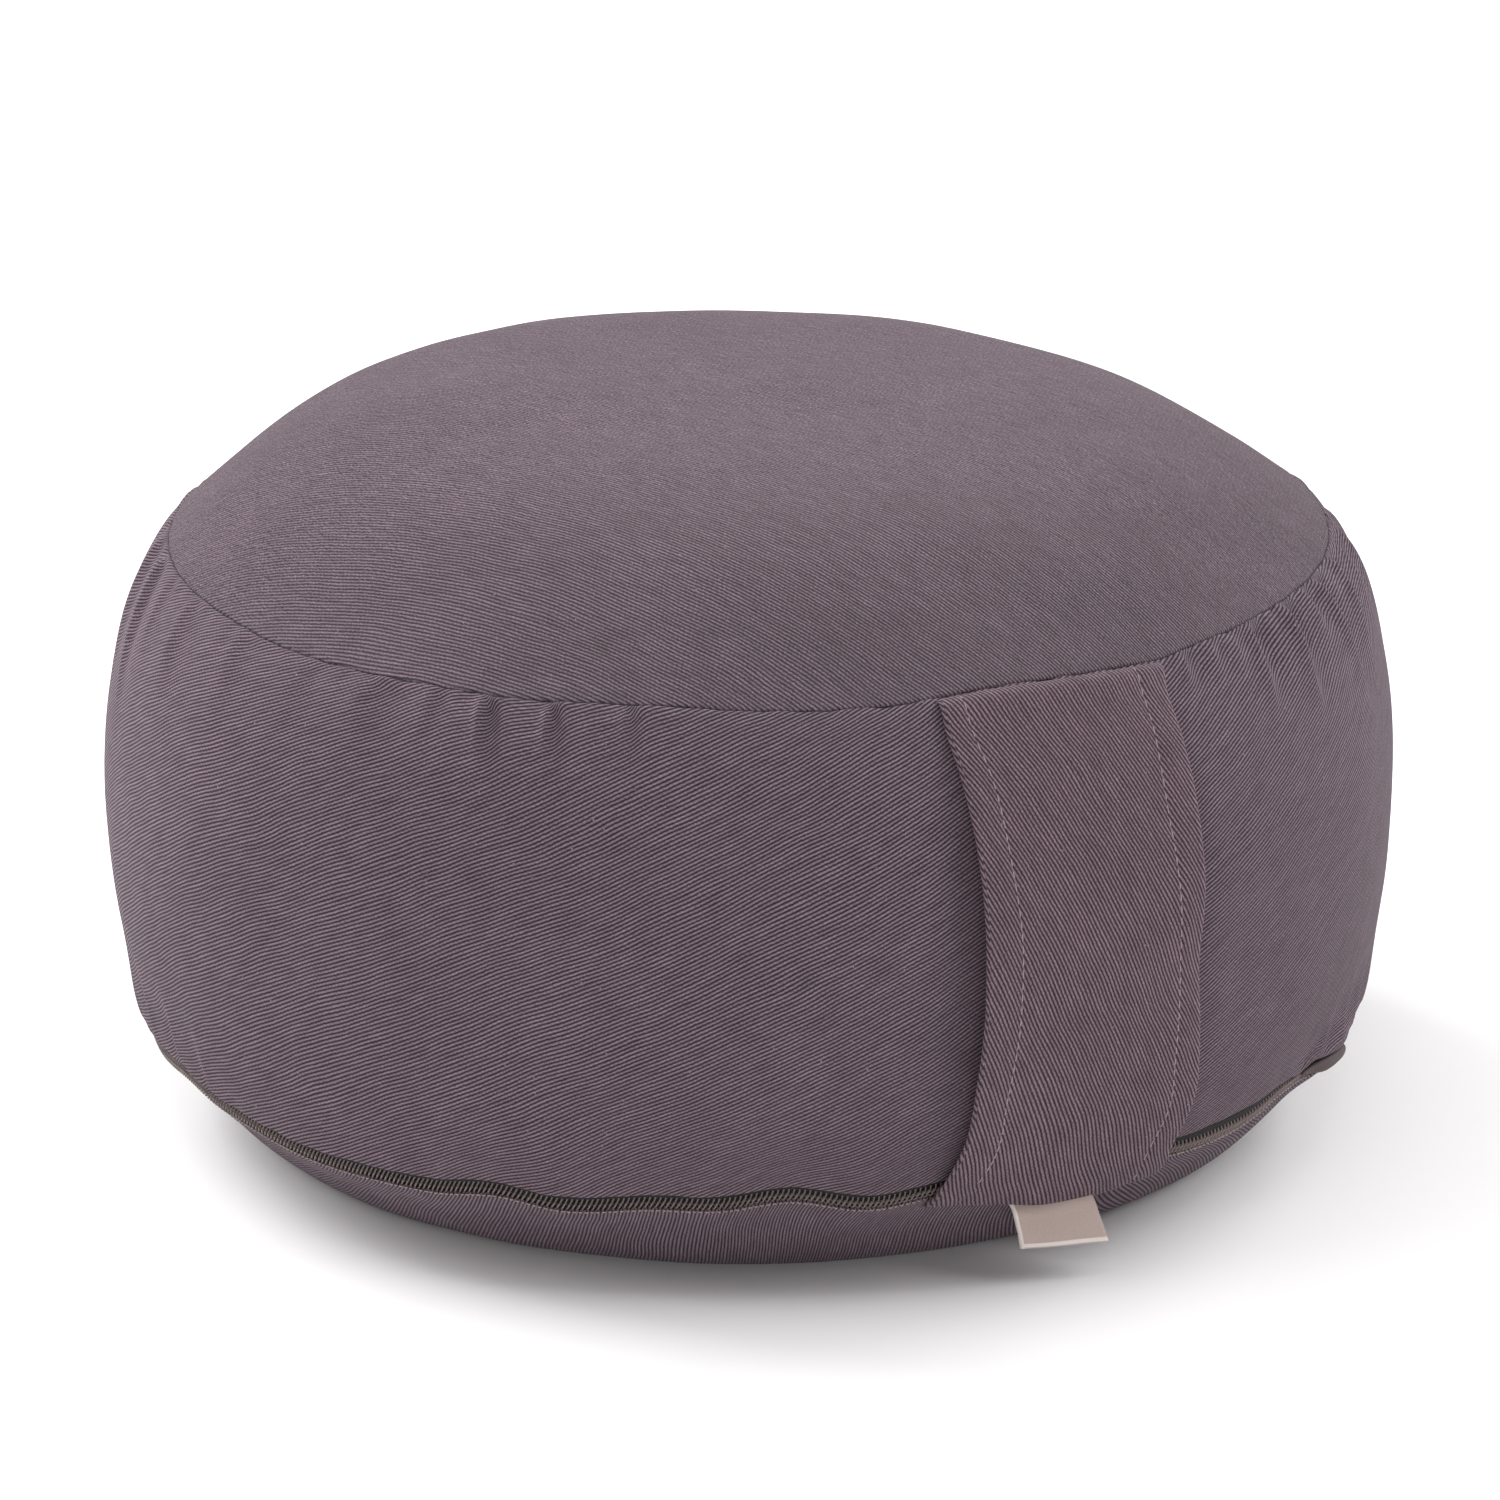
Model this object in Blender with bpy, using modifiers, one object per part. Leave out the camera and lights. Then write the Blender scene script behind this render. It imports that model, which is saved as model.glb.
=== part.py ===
# Round meditation cushion in cotton twill: a filled drum with a crowned top panel, a bulging side
# band gathered into both seams, a flat resting underside, a zip in the lower seam, one flat carrying
# strap from seam to seam and a bare folded tab below it.
#
# Sizes are in millimetres. +Z is up, the origin is the centre of the resting face and the strap is
# centred on -Y. An azimuth is counted in degrees from -Y towards +X.
#
# The outside is one line turned about Z. A place on it is a distance s along that line from the top
# seam, negative over the crown and positive down the band, and a depth off the cloth's outer face,
# negative inwards. Each turned piece is a short list of such places.

import math
from collections import namedtuple

import bmesh
import bpy
import numpy as np

MM = 0.001

# Driving sizes
CROWN_Z = 186.9
TOP_SEAM_R = 147.5
TOP_SEAM_Z = 150.3
LOW_SEAM_R = 156.4
LOW_SEAM_Z = 27.0
REST_R = 124.0
PANEL_CLOTH = 1.5
PIECE_GAP = 0.5
SEAT_DEPTH = PANEL_CLOTH + PIECE_GAP

# Every cut edge rolls into its seam: distance from the seam and drop below the face, edge first
Roll = namedtuple("Roll", "reach drop")
EDGE_ROLL = Roll(0.4, 0.7)
START_ROLL = Roll(1.6, 0.2)
SEAM_WIDTH = 0.2

# How the cloth leaves each seam: reach of the curve's handle, and its slope below level in degrees
CROWN_FLAT_REACH = 94.0
CROWN_RIM_REACH, CROWN_RIM_SLOPE = 53.0, 40.0
BAND_TOP_REACH, BAND_TOP_SLOPE = 23.9, 37.5
BAND_LOW_REACH, BAND_LOW_SLOPE = 44.0, 70.1
UNDER_RIM_REACH, UNDER_RIM_SLOPE = 20.0, 45.6
UNDER_REST_REACH = 12.5

# Facets round the drum, and rings down the crown, band and underside
BAND_SEGMENTS = 144
PANEL_SEGMENTS = 72
CROWN_RINGS = (0.0, 0.28, 0.48, 0.62, 0.74, 0.84, 0.93)
BAND_RINGS = (4.5, 9.0, 14.5, 21.0, 29.0, 40.0, 53.0, 67.0, 81.0, 94.0, 105.0, 114.0, 121.5)
UNDER_RINGS = 5
UNDER_START = 4.0

# The filling has slumped a little to one side of the crown
CROWN_LEAN = 6.9
CROWN_LEAN_TO = -119.0

# Strap, sewn into both seams
STRAP_WIDTH = 62.0
STRAP_THICK = 1.6
STRAP_COLUMNS = 7
STRAP_ROWS = 27
STRAP_DENT = 1.5
DENT_FLAT, DENT_REACH = 0.40, 0.68

# Zip in the lower seam; the slit is open along this arc and closes over a few degrees past it
ZIP_FROM, ZIP_TO = -112.5, 50.0
SLIT_CLOSE = 10.0
SLIT_UP = 2.4
SLIT_DOWN = 3.8
SLIT_FADE = 12.0
SLIT_EXTRA_DEPTH = 1.2
TAPE_UP, TAPE_DOWN = 2.2, 3.3
TAPE_THICK = 0.8
COIL_HALF = 2.1
COIL_HEIGHT = 2.0

# Tab
TAB_WIDTH = 21.0
TAB_THICK = 1.0
TAB_AZIMUTH = -0.9

# Seam and belly unevenness
WAVE_FADE = 16.0
Wave = namedtuple("Wave", "azimuth lift")
LOW_SEAM_WAVES = [
    Wave(-150, 0.4),
    Wave(-120, 0.0),
    Wave(-103, -1.4),
    Wave(-94, 0.3),
    Wave(-84, -1.6),
    Wave(-71, -3.1),
    Wave(-59, -2.2),
    Wave(-53, -0.2),
    Wave(-46, -1.3),
    Wave(-37, 0.4),
    Wave(-27, 2.1),
    Wave(-18, 0.1),
    Wave(-11, 1.0),
    Wave(0, 0.3),
    Wave(12, -0.6),
    Wave(20, -0.5),
    Wave(33, 1.1),
    Wave(50, 0.6),
    Wave(90, -0.8),
    Wave(140, 0.9),
    Wave(180, -0.5),
]
Swell = namedtuple("Swell", "count height phase")
BELLY_SWELLS = [
    Swell(4, 0.5, 0.6),
    Swell(7, 0.4, 2.1),
    Swell(11, 0.3, 4.0),
]

# Gathers: soft troughs that run from a seam into the band
Gather = namedtuple("Gather", "seam azimuth half_width depth reach lean")
GATHERS = [
    Gather("top", 14.8, 4.0, 1.1, 24, -1.0),
    Gather("top", 18.6, 4.0, 1.2, 28, -1.0),
    Gather("top", 26.0, 4.5, 1.6, 32, -1.5),
    Gather("top", 32.4, 5.0, 2.2, 42, 1.5),
    Gather("top", 38.5, 5.0, 2.4, 48, 3.0),
    Gather("top", 43.6, 4.5, 1.6, 40, 2.0),
    Gather("top", 49.0, 5.0, 2.1, 46, 2.0),
    Gather("top", 56.7, 5.0, 1.9, 42, 1.0),
    Gather("top", -40.6, 5.0, 0.8, 24, 0.5),
    Gather("top", -47.6, 5.0, 1.0, 28, 0.5),
    Gather("top", -68.2, 5.0, 0.8, 30, 0.5),
    Gather("top", -83.3, 5.0, 1.0, 34, -1.0),
    Gather("top", -97.0, 5.0, 1.3, 38, -2.0),
    Gather("top", -104.0, 5.0, 1.6, 46, -3.0),
    Gather("top", -110.6, 5.0, 2.0, 54, -5.0),
    Gather("top", -117.5, 5.0, 1.9, 50, -4.0),
    Gather("low", 32.0, 5.0, 1.2, 22, 1.0),
    Gather("low", 37.0, 5.0, 1.5, 28, 1.5),
    Gather("low", 42.5, 5.0, 1.4, 26, 0.5),
    Gather("low", -87.8, 5.0, 1.0, 26, 0.0),
    Gather("low", -94.0, 5.0, 1.2, 28, -1.0),
    Gather("low", -101.0, 5.0, 1.2, 28, -1.0),
]
BACK_GATHER_FROM, BACK_GATHER_TO = 64.0, 236.0
BACK_GATHER_STEP = 8.5
BACK_GATHER_DEPTH = 1.5

# Strap rows: place along the outside line, lift of the outer face at mid-width, and how far the
# strap bends round the drum across its width (1 follows the drum, 0 is flat)
StrapRow = namedtuple("StrapRow", "s lift cling")
STRAP_SHAPE = [
    StrapRow(0.9, 1.95, 1.0),
    StrapRow(9.0, 2.2, 1.0),
    StrapRow(20.0, 2.95, 0.85),
    StrapRow(32.0, 3.9, 0.5),
    StrapRow(46.0, 4.8, 0.3),
    StrapRow(60.0, 5.5, 0.2),
    StrapRow(74.0, 5.5, 0.2),
    StrapRow(88.0, 5.0, 0.2),
    StrapRow(101.0, 4.4, 0.3),
    StrapRow(113.0, 3.6, 0.5),
    StrapRow(122.0, 3.1, 0.8),
    StrapRow(127.8, 3.3, 1.0),
    StrapRow(130.2, 2.9, 1.0),
]

# Tab rows: place of the root on the outside line, then how far it stands out and hangs down
TAB_ROOT = 132.8
TabRow = namedtuple("TabRow", "out down")
TAB_SHAPE = [
    TabRow(0.9, 0.0),
    TabRow(2.3, 2.6),
    TabRow(3.1, 5.6),
    TabRow(3.6, 8.6),
    TabRow(3.5, 11.6),
]

TWILL = (0.146, 0.112, 0.133)
STRAP_TWILL = (0.137, 0.105, 0.120)
ZIP_BROWN = (0.080, 0.062, 0.062)
SATIN_TAUPE = (0.387, 0.305, 0.296)


def clear_scene():
    for item in list(bpy.data.objects):
        bpy.data.objects.remove(item, do_unlink=True)


def smooth_step(x, low, high):
    t = np.clip((x - low) / (high - low), 0.0, 1.0)
    return t * t * (3.0 - 2.0 * t)


def turn_apart(azimuth, centre):
    # Shortest turn from centre to azimuth, in degrees
    return (azimuth - centre + 180.0) % 360.0 - 180.0


def through_rows(x, row_x, row_y):
    # A smooth curve through the rows, level at neither end (Catmull-Rom on uneven steps)
    row_x = np.asarray(row_x, float)
    row_y = np.asarray(row_y, float)
    slope = np.gradient(row_y, row_x)
    k = np.clip(np.searchsorted(row_x, x) - 1, 0, len(row_x) - 2)
    width = row_x[k + 1] - row_x[k]
    t = (x - row_x[k]) / width
    start = (2 * t ** 3 - 3 * t ** 2 + 1) * row_y[k] + (t ** 3 - 2 * t ** 2 + t) * width * slope[k]
    end = (-2 * t ** 3 + 3 * t ** 2) * row_y[k + 1] + (t ** 3 - t ** 2) * width * slope[k + 1]
    return start + end


# ---- the outside line

def bezier(a, b, c, d, count):
    t = np.linspace(0.0, 1.0, count)[:, None]
    a, b, c, d = (np.array(p, float) for p in (a, b, c, d))
    return (1 - t) ** 3 * a + 3 * (1 - t) ** 2 * t * b + 3 * (1 - t) * t * t * c + t ** 3 * d


def along(point, reach, slope):
    # The point at reach from here, outwards and down at slope degrees below level
    turn = math.radians(slope)
    return point[0] + reach * math.cos(turn), point[1] - reach * math.sin(turn)


def outside_line():
    top = (TOP_SEAM_R, TOP_SEAM_Z)
    low = (LOW_SEAM_R, LOW_SEAM_Z)
    crown = bezier((0, CROWN_Z), (CROWN_FLAT_REACH, CROWN_Z),
                   along(top, -CROWN_RIM_REACH, CROWN_RIM_SLOPE), top, 121)
    band = bezier(top, along(top, BAND_TOP_REACH, BAND_TOP_SLOPE),
                  along(low, -BAND_LOW_REACH, 180.0 - BAND_LOW_SLOPE), low, 121)
    under = bezier(low, along(low, UNDER_RIM_REACH, 180.0 - UNDER_RIM_SLOPE),
                   (REST_R + UNDER_REST_REACH, 0), (REST_R, 0), 61)
    rest = np.array([(0.0, 0.0)])
    line = np.concatenate([crown, band[1:], under[1:], rest])
    steps = np.hypot(*np.diff(line, axis=0).T)
    distance = np.concatenate([[0.0], np.cumsum(steps)])
    distance -= distance[len(crown) - 1]
    low_seam = distance[len(crown) + len(band) - 2]
    rest_edge = distance[-2]
    return line, distance, low_seam, rest_edge


LINE, DISTANCE, LOW_SEAM, REST_EDGE = outside_line()
CROWN_TOP = DISTANCE[0]
BASE_CENTRE = DISTANCE[-1]
NORMAL_SPAN = 1.0


def line_point(s):
    return np.stack([np.interp(s, DISTANCE, LINE[:, 0]), np.interp(s, DISTANCE, LINE[:, 1])], -1)


def spot(s, depth):
    # Radius and height of the place s along the line, depth off the cloth's face
    s = np.asarray(s, float)
    tangent = line_point(s + NORMAL_SPAN) - line_point(s - NORMAL_SPAN)
    tangent /= np.linalg.norm(tangent, axis=-1, keepdims=True)
    normal = np.stack([-tangent[..., 1], tangent[..., 0]], -1)
    return line_point(s) + np.asarray(depth, float)[..., None] * normal


def seam_frame():
    # Outward and downward directions, as radius and height, where the lower seam's cloths meet
    middle = spot([LOW_SEAM, LOW_SEAM], [0.0, 1.0])
    outward = middle[1] - middle[0]
    return outward, np.array([outward[1], -outward[0]])


SEAM_OUT, SEAM_DOWN = seam_frame()


def below_seam(radius, height):
    # Distance down across the lower seam, positive on the underside
    return (radius - LOW_SEAM_R) * SEAM_DOWN[0] + (height - LOW_SEAM_Z) * SEAM_DOWN[1]


# ---- how the turned shapes are made uneven

def slit_open(azimuth):
    past = np.maximum(ZIP_FROM - azimuth, azimuth - ZIP_TO)
    return 1.0 - smooth_step(past, 0.0, SLIT_CLOSE)


def seam_lift(azimuth):
    rows = LOW_SEAM_WAVES[-1:] + LOW_SEAM_WAVES + LOW_SEAM_WAVES[:1]
    places = [row.azimuth for row in rows]
    places[0] -= 360
    places[-1] += 360
    return through_rows(azimuth, places, [row.lift for row in rows])


def polar(points):
    radius = np.hypot(points[:, 0], points[:, 1])
    azimuth = np.degrees(np.arctan2(points[:, 0], -points[:, 1]))
    return radius, azimuth, points[:, 2].copy()


def from_polar(radius, azimuth, height):
    turn = np.radians(azimuth)
    return np.stack([radius * np.sin(turn), -radius * np.cos(turn), height], -1)


def settle(points, opens_slit):
    # The slump of the crown and the wander of the lower seam, shared by every piece that meets there
    radius, azimuth, height = polar(points)
    below = below_seam(radius, height)
    if opens_slit:
        amount = np.where(below < 0, -SLIT_UP, SLIT_DOWN) * slit_open(azimuth)
        amount *= np.exp(-(below / SLIT_FADE) ** 2)
        radius += amount * SEAM_DOWN[0]
        height += amount * SEAM_DOWN[1]
    lift = seam_lift(azimuth) * np.exp(-(below / WAVE_FADE) ** 2)
    lift *= smooth_step(height, 0.0, 10.0)
    crown = np.clip(1.0 - (radius / TOP_SEAM_R) ** 2, 0.0, 1.0)
    crown *= smooth_step(height, LOW_SEAM_Z, TOP_SEAM_Z)
    toward = radius * np.cos(np.radians(azimuth - CROWN_LEAN_TO)) / TOP_SEAM_R
    height += lift + CROWN_LEAN * crown * toward
    return from_polar(radius, azimuth, height)


def back_gathers():
    # Even, shallower gathers of both seams round the far side
    rows = []
    count = int((BACK_GATHER_TO - BACK_GATHER_FROM) / BACK_GATHER_STEP)
    for k in range(count):
        place = BACK_GATHER_FROM + k * BACK_GATHER_STEP + 1.6 * math.sin(2.3 * k)
        depth = BACK_GATHER_DEPTH * (0.75 + 0.35 * math.sin(1.7 * k + 0.4))
        reach = 36.0 + 9.0 * math.sin(2.9 * k)
        rows.append(Gather("top", place, 5.5, depth, reach, 1.5 * math.sin(1.1 * k)))
        rows.append(Gather("low", place + 3.0, 5.5, 0.7 * depth, 0.7 * reach, 0.0))
    return rows


def gather_depth(azimuth, s):
    depth = np.zeros_like(s)
    for row in GATHERS + back_gathers():
        from_seam = s if row.seam == "top" else LOW_SEAM - s
        run = np.clip(from_seam / row.reach, 0.0, 1.0)
        side = turn_apart(azimuth, row.azimuth + row.lean * run)
        across = np.radians(side) * TOP_SEAM_R / row.half_width
        rise = smooth_step(from_seam, 0.5, 7.0)
        depth += row.depth * np.exp(-across ** 2) * rise * (1.0 - smooth_step(run, 0.15, 1.0))
    return depth


def shape_band(points, s, floor):
    # Gathers, slow swells and the hollow behind the strap; the slit's floor is set deeper
    radius, azimuth, height = polar(points)
    on_band = (s > 0.0) & (s < LOW_SEAM)
    aside = np.abs(points[:, 0]) / STRAP_WIDTH
    behind_strap = 1.0 - smooth_step(aside, DENT_FLAT, DENT_REACH)
    behind_strap = np.where(np.abs(azimuth) < 90, behind_strap, 0.0)
    middle = np.sin(np.pi * np.clip(s / LOW_SEAM, 0.0, 1.0)) ** 2
    swell = sum(row.height * np.cos(row.count * np.radians(azimuth) + row.phase)
                for row in BELLY_SWELLS)
    shift = (1.0 - behind_strap) * swell * middle
    shift -= STRAP_DENT * behind_strap * np.sqrt(middle)
    shift -= gather_depth(azimuth, np.clip(s, 0.0, LOW_SEAM))
    radius += np.where(on_band, shift, 0.0)
    deeper = np.where(floor, SLIT_EXTRA_DEPTH * slit_open(azimuth), 0.0)
    radius -= deeper * SEAM_OUT[0]
    height -= deeper * SEAM_OUT[1]
    return from_polar(radius, azimuth, height)


# ---- turned pieces

def turned_mesh(name, outline, segments, sweep=360.0, start=0.0, closed=False):
    # The outline, as radius and height, turned about Z from the azimuth start
    profile = bpy.data.meshes.new(name + "_outline")
    count = len(outline)
    edges = [(k, k + 1) for k in range(count - 1)]
    if closed:
        edges.append((count - 1, 0))
    turn = math.radians(start)
    ray = (math.sin(turn), -math.cos(turn))
    verts = [(r * ray[0] * MM, r * ray[1] * MM, z * MM) for r, z in outline]
    profile.from_pydata(verts, edges, [])
    guide = bpy.data.objects.new(name + "_guide", profile)
    bpy.context.scene.collection.objects.link(guide)
    screw = guide.modifiers.new("Turn", "SCREW")
    screw.axis = "Z"
    screw.angle = math.radians(sweep)
    screw.steps = segments
    screw.render_steps = segments
    screw.use_merge_vertices = sweep == 360.0
    screw.merge_threshold = 0.00005
    screw.use_normal_calculate = True
    graph = bpy.context.evaluated_depsgraph_get()
    mesh = bpy.data.meshes.new_from_object(guide.evaluated_get(graph))
    bpy.data.objects.remove(guide, do_unlink=True)
    bpy.data.meshes.remove(profile)
    mesh.name = name
    return mesh


def mesh_points(mesh):
    flat = np.empty(len(mesh.vertices) * 3)
    mesh.vertices.foreach_get("co", flat)
    return flat.reshape(-1, 3) / MM


def set_mesh_points(mesh, points):
    mesh.vertices.foreach_set("co", (points * MM).ravel())
    mesh.update()


def close_and_orient(mesh):
    # Cap open ends and point every face outwards
    work = bmesh.new()
    work.from_mesh(mesh)
    ends = [edge for edge in work.edges if edge.is_boundary]
    if ends:
        bmesh.ops.holes_fill(work, edges=ends)
    bmesh.ops.recalc_face_normals(work, faces=work.faces)
    work.to_mesh(mesh)
    work.free()


def cloth_material(name, colour, roughness):
    material = bpy.data.materials.new(name)
    material.use_nodes = True
    shader = material.node_tree.nodes["Principled BSDF"]
    shader.inputs["Base Color"].default_value = (*colour, 1.0)
    shader.inputs["Roughness"].default_value = roughness
    shader.inputs["Metallic"].default_value = 0.0
    material.diffuse_color = (*colour, 1.0)
    return material


def add_piece(collection, name, mesh, material):
    mesh.shade_smooth()
    mesh.set_sharp_from_angle(angle=math.radians(50))
    mesh.materials.append(material)
    piece = bpy.data.objects.new(name, mesh)
    collection.objects.link(piece)
    return piece


def crown_places(stop):
    # Places over the crown, from its top to stop, closer where it turns down to the seam
    return [CROWN_TOP + share * (stop - CROWN_TOP) for share in CROWN_RINGS]


def under_places():
    # Places under the drum, from just below the seam to the rim of the resting face
    return list(np.linspace(LOW_SEAM + UNDER_START, REST_EDGE, UNDER_RINGS))


def turned_outline(rows):
    # Rows of place and depth as radius and height, the first and last on the axis
    places, depths = np.array(rows).T
    outline = spot(places, depths)
    outline[[0, -1], 0] = 0.0
    return places, outline


def side_band(collection, twill):
    # The filled body: seated under both panels, rolled into both seams, bulging between them
    rows = [(s, -SEAT_DEPTH) for s in crown_places(-PIECE_GAP) + [0.0]]
    rows += [(roll.reach, -roll.drop) for roll in (EDGE_ROLL, START_ROLL)]
    rows += [(s, 0.0) for s in BAND_RINGS]
    rows += [(LOW_SEAM - roll.reach, -roll.drop) for roll in (START_ROLL, EDGE_ROLL)]
    first_floor = len(rows)
    rows += [(LOW_SEAM + side * SEAM_WIDTH, -SEAT_DEPTH) for side in (-1, 1)]
    rows += [(s, -SEAT_DEPTH) for s in under_places() + [BASE_CENTRE]]
    places, outline = turned_outline(rows)
    mesh = turned_mesh("side_band", outline, BAND_SEGMENTS)
    points = mesh_points(mesh)
    radius, _, height = polar(points)
    ring = np.hypot(radius[:, None] - outline[:, 0], height[:, None] - outline[:, 1]).argmin(1)
    floor = (ring == first_floor) | (ring == first_floor + 1)
    points = shape_band(points, places[ring], floor)
    set_mesh_points(mesh, settle(points, opens_slit=True))
    close_and_orient(mesh)
    add_piece(collection, "side_band", mesh, twill)


def panel(collection, name, rows, twill):
    # A round panel, drawn from the middle of its upper face round its rim to its lower face
    _, outline = turned_outline(rows)
    mesh = turned_mesh(name, outline, PANEL_SEGMENTS)
    set_mesh_points(mesh, settle(mesh_points(mesh), opens_slit=True))
    close_and_orient(mesh)
    add_piece(collection, name, mesh, twill)


def top_panel(collection, twill):
    face = [(s, 0.0) for s in crown_places(-UNDER_START)]
    face += [(-START_ROLL.reach, -START_ROLL.drop), (0.0, -EDGE_ROLL.drop)]
    back = [(s, -PANEL_CLOTH) for s, _ in reversed(face)]
    panel(collection, "top_panel", face + back, twill)


def bottom_panel(collection, twill):
    face = [(LOW_SEAM + SEAM_WIDTH, -EDGE_ROLL.drop), (LOW_SEAM + START_ROLL.reach, -START_ROLL.drop)]
    face += [(s, 0.0) for s in under_places() + [BASE_CENTRE]]
    back = [(s, -PANEL_CLOTH) for s, _ in reversed(face)]
    panel(collection, "bottom_panel", back + face, twill)


# ---- strap, zip and tab

def sheet_mesh(name, grid):
    # A grid of points, rows first, as one open sheet of quads
    rows, columns = grid.shape[:2]
    index = np.arange(rows * columns).reshape(rows, columns)
    corners = (index[:-1, :-1], index[1:, :-1], index[1:, 1:], index[:-1, 1:])
    faces = np.stack([corner.ravel() for corner in corners], -1)
    mesh = bpy.data.meshes.new(name)
    mesh.from_pydata((grid.reshape(-1, 3) * MM).tolist(), [], faces.tolist())
    mesh.update()
    return mesh


def thicken(piece, thickness):
    # The sheet's drawn face stays outermost and the cloth lies behind it
    solid = piece.modifiers.new("Cloth", "SOLIDIFY")
    solid.thickness = thickness * MM
    solid.offset = -1.0
    solid.use_even_offset = True
    solid.use_rim = True


def carry_handle(collection, twill):
    shape = STRAP_SHAPE
    s = np.linspace(shape[0].s, shape[-1].s, STRAP_ROWS)
    lift = through_rows(s, [row.s for row in shape], [row.lift for row in shape])
    cling = through_rows(s, [row.s for row in shape], [row.cling for row in shape])
    middle = spot(s, lift)
    x = np.linspace(-0.5, 0.5, STRAP_COLUMNS) * STRAP_WIDTH
    drop = middle[:, :1] - np.sqrt(middle[:, :1] ** 2 - x ** 2)
    y = -middle[:, :1] + cling[:, None] * drop
    z = np.repeat(middle[:, 1:], STRAP_COLUMNS, axis=1)
    grid = np.stack([np.broadcast_to(x, y.shape), y, z], -1)
    grid = settle(grid.reshape(-1, 3), opens_slit=True).reshape(grid.shape)
    mesh = sheet_mesh("carry_handle", grid)
    thicken(add_piece(collection, "carry_handle", mesh, twill), STRAP_THICK)


def seam_sweep(name, section):
    # A closed section, as distance down and depth at the lower seam, carried along the zip's arc
    base = np.array([LOW_SEAM_R, LOW_SEAM_Z])
    outline = [base + down * SEAM_DOWN + depth * SEAM_OUT for down, depth in section]
    sweep = ZIP_TO - ZIP_FROM
    steps = round(sweep * BAND_SEGMENTS / 360.0)
    mesh = turned_mesh(name, outline, steps, sweep, ZIP_FROM, closed=True)
    set_mesh_points(mesh, settle(mesh_points(mesh), opens_slit=False))
    close_and_orient(mesh)
    return mesh


TAPE_FLOOR = -(SEAT_DEPTH + SLIT_EXTRA_DEPTH) + 0.3
COIL_FLOOR = TAPE_FLOOR + TAPE_THICK + 0.3


def zip_tape(collection, material):
    top = TAPE_FLOOR + TAPE_THICK
    section = [(-TAPE_UP, TAPE_FLOOR), (-TAPE_UP, top), (TAPE_DOWN, top), (TAPE_DOWN, TAPE_FLOOR)]
    add_piece(collection, "zip_tape", seam_sweep("zip_tape", section), material)


def zip_coil(collection, material):
    turns = np.radians([0.0, 45.0, 90.0, 135.0, 180.0])
    section = [(-COIL_HALF * math.cos(t), COIL_FLOOR + COIL_HEIGHT * math.sin(t)) for t in turns]
    add_piece(collection, "zip_coil", seam_sweep("zip_coil", section), material)


def label_tab(collection, material):
    root = spot(TAB_ROOT, 0.0)
    out = root[0] + np.array([row.out for row in TAB_SHAPE])
    height = root[1] - np.array([row.down for row in TAB_SHAPE])
    x = np.linspace(-0.5, 0.5, 4) * TAB_WIDTH
    turn = math.radians(TAB_AZIMUTH)
    grid = np.empty((len(out), len(x), 3))
    grid[..., 0] = x * math.cos(turn) + out[:, None] * math.sin(turn)
    grid[..., 1] = x * math.sin(turn) - out[:, None] * math.cos(turn)
    grid[..., 2] = height[:, None]
    grid = settle(grid.reshape(-1, 3), opens_slit=True).reshape(grid.shape)
    mesh = sheet_mesh("label_tab", grid)
    thicken(add_piece(collection, "label_tab", mesh, material), TAB_THICK)


def main():
    clear_scene()
    collection = bpy.data.collections.new("zafu_cushion")
    bpy.context.scene.collection.children.link(collection)
    twill = cloth_material("cotton_twill", TWILL, 0.9)
    strap_twill = cloth_material("strap_twill", STRAP_TWILL, 0.9)
    zip_nylon = cloth_material("zip_nylon", ZIP_BROWN, 0.55)
    zip_weave = cloth_material("zip_weave", ZIP_BROWN, 0.85)
    satin = cloth_material("satin_tab", SATIN_TAUPE, 0.5)
    side_band(collection, twill)
    top_panel(collection, twill)
    bottom_panel(collection, twill)
    carry_handle(collection, strap_twill)
    zip_tape(collection, zip_weave)
    zip_coil(collection, zip_nylon)
    label_tab(collection, satin)


main()
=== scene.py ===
import math
from functools import partial

import bpy
import numpy as np
from mathutils import Matrix, Vector


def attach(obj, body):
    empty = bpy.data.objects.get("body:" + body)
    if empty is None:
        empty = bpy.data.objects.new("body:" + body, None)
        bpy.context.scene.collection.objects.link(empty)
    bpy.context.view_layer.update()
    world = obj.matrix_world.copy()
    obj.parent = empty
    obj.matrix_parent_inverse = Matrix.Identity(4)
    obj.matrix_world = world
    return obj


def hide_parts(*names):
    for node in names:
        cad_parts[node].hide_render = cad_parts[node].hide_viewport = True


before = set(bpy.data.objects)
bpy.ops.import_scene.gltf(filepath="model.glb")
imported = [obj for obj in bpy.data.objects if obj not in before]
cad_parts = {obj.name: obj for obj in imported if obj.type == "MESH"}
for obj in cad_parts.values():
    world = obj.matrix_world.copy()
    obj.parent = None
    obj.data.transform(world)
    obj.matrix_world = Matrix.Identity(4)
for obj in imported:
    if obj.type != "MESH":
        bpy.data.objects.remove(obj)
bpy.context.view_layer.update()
scene = bpy.context.scene
mm = 0.001  # every size below is in millimetres until it goes into a mesh

# Azimuths are in degrees from -Y towards +X. A place on the cushion is a distance s down its outside
# line from the top seam, negative over the crown, and a depth off the cloth's face, negative inwards.


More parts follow.
